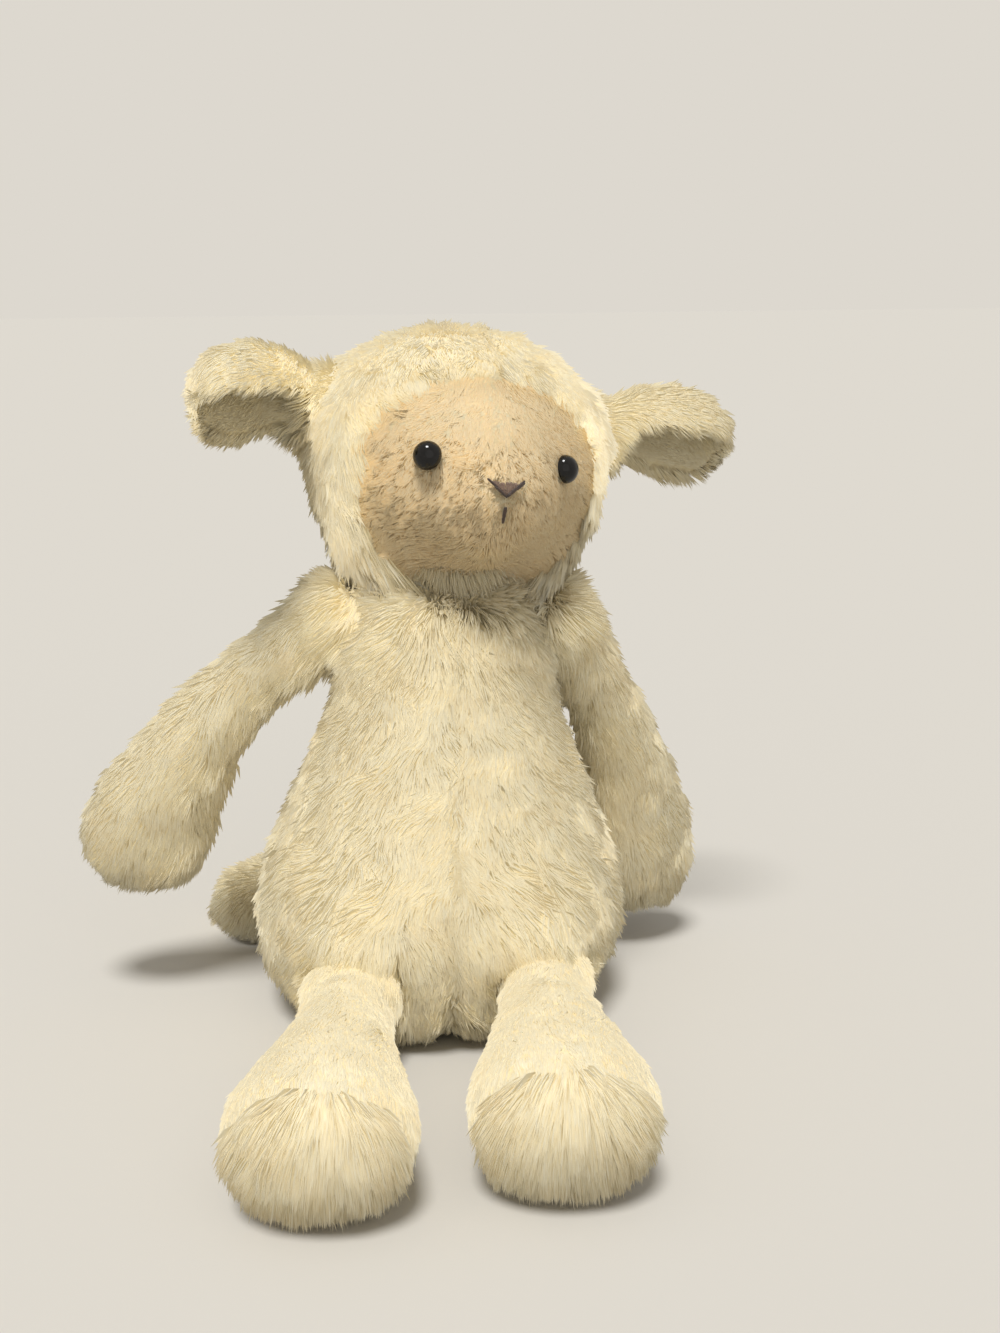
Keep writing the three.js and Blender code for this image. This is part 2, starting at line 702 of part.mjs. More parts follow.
// Stitches: a slice of a layer of thread on the face, with an outline in shares of its size.
function faceStitches(outlineShares, width, height, drop) {
  const outline = outlineShares.map(
    ([across, up]) => new THREE.Vector2(across * width, up * height),
  );
  const layer = headForm(faceRadius, -FILL_GAP - THREAD_THICKNESS).subtract(
    headForm(faceRadius, -FILL_GAP),
  );
  return layer.intersect(forwardPrism(outline, drop));
}

// The profile of a safety eye, a dome on a shank, from its shank's end to its top.
function eyeGeometry() {
  const dome = Array.from({ length: EYE_DOME_STEPS }, (_, step) => {
    const angle = ((step / EYE_DOME_STEPS) * Math.PI) / 2;
    return new THREE.Vector2(EYE_RADIUS * Math.cos(angle), EYE_DOME_HEIGHT * Math.sin(angle));
  });
  const profile = [
    new THREE.Vector2(0, -SHANK_LENGTH),
    new THREE.Vector2(SHANK_RADIUS, -SHANK_LENGTH),
    new THREE.Vector2(SHANK_RADIUS, 0),
    ...dome,
    new THREE.Vector2(0, EYE_DOME_HEIGHT),
  ];
  return new THREE.LatheGeometry(profile, EYE_SIDES);
}

// A washer, a ring that faces along +Y.
function washerGeometry() {
  const inner = SHANK_RADIUS + FILL_GAP;
  const profile = [
    new THREE.Vector2(inner, -WASHER_THICKNESS),
    new THREE.Vector2(WASHER_RADIUS, -WASHER_THICKNESS),
    new THREE.Vector2(WASHER_RADIUS, 0),
    new THREE.Vector2(inner, 0),
    new THREE.Vector2(inner, -WASHER_THICKNESS),
  ];
  return new THREE.LatheGeometry(profile, EYE_SIDES);
}

function buildEye(name, side) {
  const { point, normal } = facePlace(side * EYE_SPREAD, -EYE_DROP);
  const group = new THREE.Group();
  group.position.copy(point).addScaledVector(normal, FILL_GAP);
  group.quaternion.setFromUnitVectors(new THREE.Vector3(0, 1, 0), normal);
  const washer = meshOf(`${name}_eye_washer`, solidOf(washerGeometry()), material(0xe8e8e4, 0.5));
  washer.position.set(0, -PLUSH_THICKNESS - WASHER_SETBACK, 0);
  group.add(meshOf(`${name}_eye`, solidOf(eyeGeometry()), material(0x0b0a0a, 0.08)), washer);
  const placed = (geometry) =>
    solidOf(geometry.applyQuaternion(group.quaternion).translate(...group.position));
  const up = new THREE.Vector3(0, 1, 0);
  const hole = placed(pin(SHANK_RADIUS + FILL_GAP, up, -SHANK_LENGTH - FILL_GAP, OVERRUN));
  const pocket = placed(pin(WASHER_RADIUS + FILL_GAP, up, -SHANK_LENGTH - FILL_GAP, OVERRUN));
  return { group, hole, pocket };
}

function buildHead() {
  const group = limbGroup(NECK_PLACE, HEAD_TURN_LEFT, HEAD_TILT_LEFT, -HEAD_LEAN_BACK);
  const ears = [
    { name: "right", side: -1, drop: RIGHT_EAR_DROOP, sweepBack: RIGHT_EAR_SWEEP_BACK },
    { name: "left", side: 1, drop: LEFT_EAR_DROOP, sweepBack: LEFT_EAR_SWEEP_BACK },
  ].map(({ name, side, drop, sweepBack }) => {
    const root = new THREE.Vector3(side * EAR_SPREAD, EAR_SET_BACK, HEAD_RISE + EAR_RISE);
    return { name, side, ear: { ...EAR, root, drop, sweepBack } };
  });
  const neckSeat = seatFor(NECK_RADIUS);
  const earSeats = ears.map(({ ear }) => seatFor(ear.rootRadius, ear.root));
  const eyes = [buildEye("right", -1), buildEye("left", 1)];
  const cut = (solid, cutters) => cutters.reduce((left, cutter) => left.subtract(cutter), solid);

  const hoodShell = headForm(hoodRadius, 0).subtract(headForm(hoodRadius, PLUSH_THICKNESS));
  const hood = cut(hoodShell, [faceOpening(SEAM_GAP), neckSeat, ...earSeats]);
  const [hoodLeft, hoodRight] = splitAtSeam(hood, new THREE.Vector3(1, 0, 0));
  const faceShell = headForm(faceRadius, 0).subtract(headForm(faceRadius, PLUSH_THICKNESS));
  const facePanel = cut(faceShell.intersect(faceOpening(0)), [
    neckSeat,
    ...eyes.map(({ hole }) => hole),
  ]);
  const fillInset = PLUSH_THICKNESS + FILL_GAP;
  const stuffing = cut(
    headForm(hoodRadius, fillInset)
      .subtract(faceOpening(SEAM_GAP))
      .add(headForm(faceRadius, fillInset)),
    [neckSeat, ...earSeats, ...eyes.map(({ pocket }) => pocket)],
  );
  const nose = faceStitches(NOSE_OUTLINE_SHARES, NOSE_WIDTH, NOSE_HEIGHT, NOSE_DROP);
  const mouth = faceStitches(MOUTH_OUTLINE_SHARES, MOUTH_WIDTH, MOUTH_HEIGHT, MOUTH_DROP);

  group.add(
    meshOf("hood_left_panel", hoodLeft, wool()),
    meshOf("hood_right_panel", hoodRight, wool()),
    meshOf("face_panel", facePanel, shortPile()),
    meshOf("head_stuffing", stuffing, fibreFill()),
    meshOf("nose_stitches", nose, material(0x8f7468, 0.7)),
    meshOf("mouth_stitches", mouth, material(0x4a3730, 0.7)),
    ...eyes.map((eye) => eye.group),
    ...ears.map(({ name, side, ear }) => buildEar(ear, name, side)),
  );
  return group;
}

// The limbs' sizes and places
const shoulderPlace = (side) => {
  const height = TORSO_HEIGHT - SHOULDER_DROP;
  const { left } = torsoDirections(height / TORSO_HEIGHT);
  const reach = torsoHalfWidth(height) + SHOULDER_SET_OUT;
  return torsoMiddle(height).addScaledVector(left, side * reach);
};
const EAR = {
  length: EAR_LENGTH,
  halfHeight: EAR_HALF_HEIGHT,
  halfDepth: EAR_HALF_DEPTH,
  rootRadius: EAR_ROOT_RADIUS,
  bend: EAR_BEND,
  sides: EAR_SIDES,
  shares: EAR_SHARES,
};
const ARM = {
  length: ARM_LENGTH,
  halfHeight: ARM_HALF_HEIGHT,
  halfDepth: ARM_HALF_DEPTH,
  rootRadius: ARM_ROOT_RADIUS,
  bend: ARM_BEND,
  sides: ARM_SIDES,
  shares: ARM_SHARES,
};
const LEG = {
  length: LEG_LENGTH,
  halfHeight: LEG_HALF_HEIGHT,
  halfDepth: LEG_HALF_WIDTH,
  rootRadius: LEG_ROOT_RADIUS,
  bend: 0,
  sides: LEG_SIDES,
  shares: LEG_SHARES,
};
const TAIL = {
  length: TAIL_LENGTH,
  halfHeight: TAIL_HALF_HEIGHT,
  halfDepth: TAIL_HALF_DEPTH,
  rootRadius: TAIL_ROOT_RADIUS,
  bend: TAIL_BEND,
  sides: TAIL_SIDES,
  shares: TAIL_SHARES,
  root: new THREE.Vector3(-TAIL_SIDE, TAIL_BACK, TAIL_HEIGHT),
};
const rightArm = {
  ...ARM,
  root: shoulderPlace(-1),
  drop: RIGHT_ARM_DROP,
  sweepBack: RIGHT_ARM_SWEEP_BACK,
};
const leftArm = {
  ...ARM,
  root: shoulderPlace(1),
  drop: LEFT_ARM_DROP,
  sweepBack: LEFT_ARM_SWEEP_BACK,
};
const rightLeg = {
  ...LEG,
  root: new THREE.Vector3(-HIP_SPREAD, -RIGHT_HIP_FORWARD, HIP_HEIGHT),
  splay: RIGHT_LEG_SPLAY,
};
const leftLeg = {
  ...LEG,
  root: new THREE.Vector3(HIP_SPREAD, -LEFT_HIP_FORWARD, HIP_HEIGHT),
  splay: LEFT_LEG_SPLAY,
};

// The neck's ball, turned half a facet, so that its corners come close to its seats' facets.
function neckGeometry() {
  const halfFacet = Math.PI / BALL_SIDES;
  return new THREE.SphereGeometry(NECK_RADIUS, BALL_SIDES, BALL_SIDES / 2)
    .rotateY(halfFacet)
    .rotateX(halfFacet)
    .translate(...NECK_PLACE);
}

// The whole sheep
const limbRoots = [rightArm, leftArm, rightLeg, leftLeg, TAIL].map((limb) => ({
  radius: limb.rootRadius,
  place: limb.root,
}));
limbRoots.push({ radius: NECK_RADIUS, place: NECK_PLACE });

const sheep = new THREE.Group();
sheep.add(
  ...buildTorso(limbRoots),
  meshOf("neck", solidOf(neckGeometry()), wool()),
  buildHead(),
  buildArm(rightArm, "right", -1),
  buildArm(leftArm, "left", 1),
  buildLeg(rightLeg, "right", -1),
  buildLeg(leftLeg, "left", 1),
  buildTail(TAIL),
);

export default sheep;
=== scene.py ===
"""The looks of a seated plush sheep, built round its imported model, in metres and in its frame.

Every stuffed part is a cover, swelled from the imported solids, with the pile of each of its panels
standing on it. The sheep looks along -Y and its own left side is +X.
"""

import json
import logging
import math
from collections.abc import Callable
from dataclasses import dataclass, field, replace
from enum import Enum

import bmesh
import bpy
import numpy as np
from mathutils import Euler, Matrix, Vector
from mathutils.bvhtree import BVHTree
from mathutils.kdtree import KDTree

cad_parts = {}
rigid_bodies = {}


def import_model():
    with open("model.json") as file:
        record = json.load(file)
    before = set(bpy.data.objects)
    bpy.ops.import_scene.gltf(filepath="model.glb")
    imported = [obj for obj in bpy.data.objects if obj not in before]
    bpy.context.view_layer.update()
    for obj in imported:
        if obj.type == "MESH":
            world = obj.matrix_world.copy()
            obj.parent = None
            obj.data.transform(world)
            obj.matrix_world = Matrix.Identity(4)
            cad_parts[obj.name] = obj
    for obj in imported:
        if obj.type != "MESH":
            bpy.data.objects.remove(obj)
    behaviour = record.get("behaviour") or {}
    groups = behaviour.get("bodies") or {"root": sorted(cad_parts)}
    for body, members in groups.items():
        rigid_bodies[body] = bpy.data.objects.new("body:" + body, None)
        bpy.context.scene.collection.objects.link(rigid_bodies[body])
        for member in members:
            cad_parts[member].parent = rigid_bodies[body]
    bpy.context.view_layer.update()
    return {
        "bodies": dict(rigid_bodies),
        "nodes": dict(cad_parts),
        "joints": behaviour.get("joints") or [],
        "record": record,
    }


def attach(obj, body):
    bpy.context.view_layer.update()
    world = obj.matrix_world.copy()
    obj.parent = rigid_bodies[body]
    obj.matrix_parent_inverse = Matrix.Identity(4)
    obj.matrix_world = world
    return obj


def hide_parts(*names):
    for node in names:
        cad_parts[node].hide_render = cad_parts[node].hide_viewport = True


log = logging.getLogger("sheep")

MM = 0.001
# Where each part's random draws start, and the steps between a part's panels and sides
SEEDS = {
    "nose": 5,
    "torso": 10,
    "seat": 50,
    "neck": 60,
    "hood": 70,
    "face": 90,
    "underpile": 97,
    "arm": 100,
    "leg": 300,
    "ear": 500,
    "tail": 700,
}
SEED_STEP = 10
SIDE_STEP = 100
Points = np.ndarray
Field = Callable[[Points, Points], Points]
Share = Callable[[Points], Points]


# Small tools


def unit(vectors: Points) -> Points:
    """Returns the vectors with a length of one."""
    length = np.linalg.norm(vectors, axis=-1, keepdims=True)
    return vectors / np.maximum(length, 1e-12)


def srgb(red: int, green: int, blue: int) -> tuple[float, float, float, float]:
    """Turns a screen colour into the linear colour that a shader takes.

    Args:
        red, green, blue: parts from 0 to 255.
    Returns:
        The linear colour, with an alpha of one.
    """
    linear = [((part / 255 + 0.055) / 1.055) ** 2.4 for part in (red, green, blue)]
    return (*linear, 1.0)


def select_only(*objects: bpy.types.Object) -> None:
    """Selects these objects alone and makes the first one active."""
    bpy.ops.object.select_all(action="DESELECT")
    for obj in objects:
        obj.select_set(True)
    bpy.context.view_layer.objects.active = objects[0]


def apply_modifier(obj: bpy.types.Object, kind: str, **settings: object) -> None:
    """Adds a modifier to an object and applies it."""
    modifier = obj.modifiers.new(kind.title(), kind)
    for key, value in settings.items():
        setattr(modifier, key, value)
    select_only(obj)
    bpy.ops.object.modifier_apply(modifier=modifier.name)


def corners_of(obj: bpy.types.Object) -> Points:
    """Returns an object's mesh points, one row each."""
    flat = np.empty(len(obj.data.vertices) * 3)
    obj.data.vertices.foreach_get("co", flat)
    return flat.reshape(-1, 3)


def slopes_of(obj: bpy.types.Object) -> Points:
    """Returns the outward direction at each of an object's mesh points."""
    flat = np.empty(len(obj.data.vertices) * 3)
    obj.data.vertices.foreach_get("normal", flat)
    return flat.reshape(-1, 3)


def set_corners(obj: bpy.types.Object, points: Points) -> None:
    """Moves an object's mesh points to new places."""
    obj.data.vertices.foreach_set("co", points.astype(np.float32).ravel())
    obj.data.update()


def bell(distance: Points, width: float) -> Points:
    """Returns 1 at a distance of 0, and less the further away it is."""
    return np.exp(-((distance / width) ** 2))


def rise(values: Points, start: float, over: float) -> Points:
    """Returns 0 below a start, and 1 from a stretch above it on."""
    return np.clip((values - start) / over, 0, 1)


def ways_of(across: Points, back: float, up: float) -> Points:
    """Returns a direction for each value across, all with the same back and up."""
    same = np.ones(len(across))
    return np.stack([across, back * same, up * same], axis=1)


class SmoothNoise:
    """A smooth random value from -1 to 1 that wanders over a length."""

    CELLS = 32

    def __init__(self, size: float, seed: int) -> None:
        """Draws the lattice of values.

        Args:
            size: the length over which the value wanders.
            seed: the start of the random draw.
        """
        self.size = size
        self.lattice = np.random.default_rng(seed).uniform(-1, 1, (self.CELLS,) * 3)

    def __call__(self, points: Points) -> Points:
        """Returns the value at each point."""
        place = points / self.size
        base = np.floor(place).astype(int)
        part = place - base
        part = part * part * (3 - 2 * part)
        total = np.zeros(len(points))
        for corner in np.ndindex(2, 2, 2):
            weight = np.prod(np.where(corner, part, 1 - part), axis=1)
            total += weight * self.lattice[tuple(((base + corner) % self.CELLS).T)]
        return total


# Finishes


class Nodes:
    """A material's nodes, made one call at a time."""

    def __init__(self, name: str) -> None:
        """Starts a material with a Principled shader."""
        self.material = bpy.data.materials.new(name)
        self.material.use_nodes = True
        self.tree = self.material.node_tree
        self.shader = self.tree.nodes["Principled BSDF"]

    def add(self, kind: str, **settings: object) -> bpy.types.Node:
        """Adds a node and sets its properties."""
        node = self.tree.nodes.new(kind)
        for key, value in settings.items():
            setattr(node, key, value)
        return node

    def link(self, source: bpy.types.NodeSocket, target: bpy.types.NodeSocket) -> None:
        """Joins an output to an input."""
        self.tree.links.new(source, target)

    def set(self, **values: object) -> None:
        """Sets the shader's own sockets, whose names have underscores for spaces."""
        for key, value in values.items():
            self.shader.inputs[key.replace("_", " ")].default_value = value

    def ramp(self, source: bpy.types.NodeSocket, *stops: tuple) -> bpy.types.NodeSocket:
        """Turns a value into a colour.

        Args:
            source: the value.
            stops: pairs of a place and a colour.
        Returns:
            The colour's socket.
        """
        node = self.add("ShaderNodeValToRGB")
        elements = node.color_ramp.elements
        for (place, color), element in zip(stops, elements):
            element.position = place
            element.color = color
        for place, color in stops[2:]:
            elements.new(place).color = color
        self.link(source, node.inputs["Fac"])
        return node.outputs["Color"]

    def noise(self, scale: float, detail: float = 3) -> bpy.types.NodeSocket:
        """Returns a noise over the piece's own place, with features of 1 / scale metres."""
        place = self.add("ShaderNodeTexCoord")
        node = self.add("ShaderNodeTexNoise")
        node.inputs["Scale"].default_value = scale
        node.inputs["Detail"].default_value = detail
        self.link(place.outputs["Object"], node.inputs["Vector"])
        return node.outputs["Fac"]

    def bump(self, height: bpy.types.NodeSocket, distance: float) -> None:
        """Lets a height roughen the surface."""
        node = self.add("ShaderNodeBump")
        node.inputs["Strength"].default_value = 1
        node.inputs["Distance"].default_value = distance
        self.link(height, node.inputs["Height"])
        self.link(node.outputs["Normal"], self.shader.inputs["Normal"])


@dataclass(frozen=True)
class PileFinish:
    """Fibres that are darker at the cloth, a painted shade deep in the pile, and pale at their
    tips, no two quite alike.
    """

    ROOT_END = 0.05
    PALE_MIDDLE = 0.45
    DARK_MIDDLE = 0.5
    TIP_START = 0.9

    name: str
    root: tuple
    middle: tuple
    tip: tuple
    dark_tip: tuple
    roughness: float = 0.75
    specular: float = 0.25
    sheen: float = 0.2
    sheen_roughness: float = 0.4

    def material(self) -> bpy.types.Material:
        """Returns the material, which reads the strands' own map."""
        nodes = Nodes(self.name)
        strand_map = nodes.add("ShaderNodeUVMap", uv_map=Strands.MAP)
        parts = nodes.add("ShaderNodeSeparateXYZ")
        nodes.link(strand_map.outputs["UV"], parts.inputs["Vector"])
        along = parts.outputs["Y"]
        # The darker root colour is painted shade deep in the pile; the tips' two tones differ at
        # random.
        root = (self.ROOT_END, self.root)
        pale = nodes.ramp(
            along, root, (self.TIP_START, self.tip), (self.PALE_MIDDLE, self.middle)
        )
        dark = nodes.ramp(
            along, root, (self.TIP_START, self.dark_tip), (self.DARK_MIDDLE, self.middle)
        )
        mix = nodes.add("ShaderNodeMix", data_type="RGBA")
        nodes.link(parts.outputs["X"], mix.inputs["Factor"])
        nodes.link(dark, mix.inputs["A"])
        nodes.link(pale, mix.inputs["B"])
        nodes.link(mix.outputs["Result"], nodes.shader.inputs["Base Color"])
        nodes.set(Roughness=self.roughness, Specular_IOR_Level=self.specular)
        nodes.set(Sheen_Weight=self.sheen, Sheen_Roughness=self.sheen_roughness)
        return nodes.material


@dataclass(frozen=True)
class BackingFinish:
    """The knitted cloth that the pile stands on."""

    CLOUDS = 350
    CLOUD_STOPS = (0.35, 0.7)
    KNIT = 1200
    KNIT_DEPTH = 0.3 * MM

    name: str
    pale: tuple
    dark: tuple
    roughness: float = 0.95
    specular: float = 0.1

    def material(self) -> bpy.types.Material:
        """Returns the material: a fine knit with cloudy shading."""
        nodes = Nodes(self.name)
        low, high = self.CLOUD_STOPS
        color = nodes.ramp(nodes.noise(self.CLOUDS), (low, self.dark), (high, self.pale))
        nodes.link(color, nodes.shader.inputs["Base Color"])
        nodes.bump(nodes.noise(self.KNIT), self.KNIT_DEPTH)
        nodes.set(Roughness=self.roughness, Specular_IOR_Level=self.specular)
        return nodes.material


@dataclass(frozen=True)
class ThreadFinish:
    """Shiny embroidery thread."""

    FIBRES = 900
    FIBRE_DETAIL = 2
    FIBRE_STOPS = (0.3, 0.7)
    TWIST = 2500
    TWIST_DETAIL = 1
    TWIST_DEPTH = 0.2 * MM

    name: str
    pale: tuple
    dark: tuple
    roughness: float = 0.45
    sheen: float = 0.3

    def material(self) -> bpy.types.Material:
        """Returns the material, with a twist along the thread."""
        nodes = Nodes(self.name)
        low, high = self.FIBRE_STOPS
        fibres = nodes.noise(self.FIBRES, self.FIBRE_DETAIL)
        color = nodes.ramp(fibres, (low, self.dark), (high, self.pale))
        nodes.link(color, nodes.shader.inputs["Base Color"])
        nodes.bump(nodes.noise(self.TWIST, self.TWIST_DETAIL), self.TWIST_DEPTH)
        nodes.set(Roughness=self.roughness, Sheen_Weight=self.sheen)
        return nodes.material


@dataclass(frozen=True)
class GlossFinish:
    """Polished black plastic with faint handling marks."""

    DUST = 700
    DUST_STOPS = (0.4, 0.9)
    SMEARS = 300

    name: str
    color: tuple
    dust: tuple
    least_roughness: float = 0.05
    most_roughness: float = 0.13
    specular: float = 0.35

    def material(self) -> bpy.types.Material:
        """Returns the material."""
        nodes = Nodes(self.name)
        low, high = self.DUST_STOPS
        dust = nodes.ramp(nodes.noise(self.DUST), (low, self.color), (high, self.dust))
        nodes.link(dust, nodes.shader.inputs["Base Color"])
        smear = nodes.add("ShaderNodeMapRange")
        smear.inputs["To Min"].default_value = self.least_roughness
        smear.inputs["To Max"].default_value = self.most_roughness
        nodes.link(nodes.noise(self.SMEARS), smear.inputs["Value"])
        nodes.link(smear.outputs["Result"], nodes.shader.inputs["Roughness"])
        nodes.set(Specular_IOR_Level=self.specular)
        return nodes.material


@dataclass(frozen=True)
class PlainFinish:
    """A moulded or matt surface with a slight grain."""

    DIMMED = 0.94
    CLOUDS = 60
    CLOUD_STOPS = (0.3, 0.7)
    GRAIN = 900
    GRAIN_DEPTH = 0.05 * MM

    name: str
    color: tuple
    roughness: float = 0.6

    def material(self) -> bpy.types.Material:
        """Returns the material."""
        nodes = Nodes(self.name)
        dim = tuple(part * self.DIMMED for part in self.color[:3]) + (1.0,)
        low, high = self.CLOUD_STOPS
        color = nodes.ramp(nodes.noise(self.CLOUDS), (low, dim), (high, self.color))
        nodes.link(color, nodes.shader.inputs["Base Color"])
        nodes.bump(nodes.noise(self.GRAIN), self.GRAIN_DEPTH)
        nodes.set(Roughness=self.roughness)
        return nodes.material


FINISHES = {
    # Each pile's first colour, at the root, is darker as painted shade deep in the pile.
    "wool": PileFinish(
        "wool_pile",
        srgb(222, 206, 166),
        srgb(245, 234, 201),
        srgb(254, 248, 225),
        srgb(238, 223, 186),
    ),
    "short_pile": PileFinish(
        "face_pile",
        srgb(226, 198, 150),
        srgb(249, 227, 184),
        srgb(255, 241, 208),
        srgb(243, 220, 176),
    ),
    "backing": BackingFinish("wool_backing", srgb(246, 235, 202), srgb(238, 224, 186)),
    "fill": BackingFinish("fibre_fill", srgb(246, 240, 224), srgb(230, 222, 200)),
    "eye": GlossFinish("eye_black", srgb(8, 7, 7), srgb(30, 27, 26)),
    "washer": PlainFinish("washer_plastic", srgb(232, 232, 226)),
    "nose": ThreadFinish("nose_thread", srgb(150, 122, 102), srgb(112, 86, 70)),
    "mouth": ThreadFinish("mouth_thread", srgb(84, 62, 50), srgb(50, 36, 30)),
}
_materials: dict[str, bpy.types.Material] = {}


def dress(obj: bpy.types.Object, finish: str) -> None:
    """Gives an object one of the finishes, made once and shared."""
    if finish not in _materials:
        _materials[finish] = FINISHES[finish].material()
    obj.data.materials.clear()
    obj.data.materials.append(_materials[finish])


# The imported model


@dataclass(frozen=True)
class Packed:
    """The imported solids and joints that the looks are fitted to."""

    nodes: dict[str, bpy.types.Object]
    joints: dict[str, dict]

    def pivot(self, joint: str) -> Points:
        """Returns the middle of a joint."""
        return np.array(self.joints[joint]["pos_m"], dtype=float)

    def tree(self, node: str) -> BVHTree:
        """Returns a search tree of a solid's faces."""
        mesh = self.nodes[node].data
        faces = [tuple(face.vertices) for face in mesh.polygons]
        return BVHTree.FromPolygons([corner.co for corner in mesh.vertices], faces)


@dataclass(frozen=True)
class Spot:
    """A ball of space, such as a limb's seat or the place of an eye."""

    place: Points
    radius: float

    def beyond(self, points: Points) -> Points:
        """Returns how far outside the ball each point is, with 0 inside it."""
        return np.maximum(np.linalg.norm(points - self.place, axis=1) - self.radius, 0)


class Neighbours:
    """The covers of all bodies, which each other's pile keeps clear of."""

    CLEARANCE = 0.8 * MM
    SEARCH = 12 * MM

    def __init__(self) -> None:
        """Starts without covers."""
        self.trees: list[tuple[str, BVHTree, Points, Points]] = []

    def add(self, cover: bpy.types.Object, body: str) -> None:
        """Takes a cover in."""
        faces = [tuple(face.vertices) for face in cover.data.polygons]
        tree = BVHTree.FromPolygons([corner.co for corner in cover.data.vertices], faces)
        corners = corners_of(cover)
        self.trees.append((body, tree, corners.min(axis=0), corners.max(axis=0)))

    def clear(self, points: Points, body: str) -> Points:
        """Tells which points lie clear of the other bodies' covers.

        Args:
            points: the places.
            body: the body that they belong to.
        Returns:
            A true value for each clear point.
        """
        free = np.ones(len(points), dtype=bool)
        for other, tree, low, high in self.trees:
            if other == body:
                continue
            near = (points > low - self.CLEARANCE) & (points < high + self.CLEARANCE)
            for index in np.flatnonzero(near.all(axis=1)):
                point = points[index]
                place, slope, _, gap = tree.find_nearest(point, self.SEARCH)
                if place is None:
                    continue
                if gap < self.CLEARANCE or (Vector(point) - place).dot(slope) < 0:
                    free[index] = False
        return free


class Panels:
    """Tells which panel of a cover a point of it belongs to."""

    def __init__(self, packed: Packed, nodes: tuple[str, ...], bare: list[Spot] = ()) -> None:
        """Reads the panels' solids.

        Args:
            packed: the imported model.
            nodes: the panels.
            bare: where no pile stands.
        """
        self.trees = {node: packed.tree(node) for node in nodes}
        self.bare = bare

    def share(self, node: str) -> Share:
        """Returns a function that is 1 on this panel and 0 off it."""

        def on_panel(points: Points) -> Points:
            """Returns 1 for each point whose nearest panel this is."""
            names = list(self.trees)
            gaps = np.array(
                [[self.trees[name].find_nearest(point)[3] for name in names] for point in points]
            )
            share = (gaps.argmin(axis=1) == names.index(node)).astype(float)
            for spot in self.bare:
                share[spot.beyond(points) == 0] = 0
            return share

        return on_panel


def unchanged(points: Points) -> Points:
    """Returns the points as they are."""
    return points


def sew(obj: bpy.types.Object, body: str, slot: str, *nodes: str) -> bpy.types.Object:
    """Lets a piece ride on a body and stand for its solids."""
    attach(obj, body)
    if nodes:
        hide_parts(*nodes)
    log.info("%s rides on %s with %d faces", obj.name, body, len(obj.data.polygons))
    return obj


# Covers


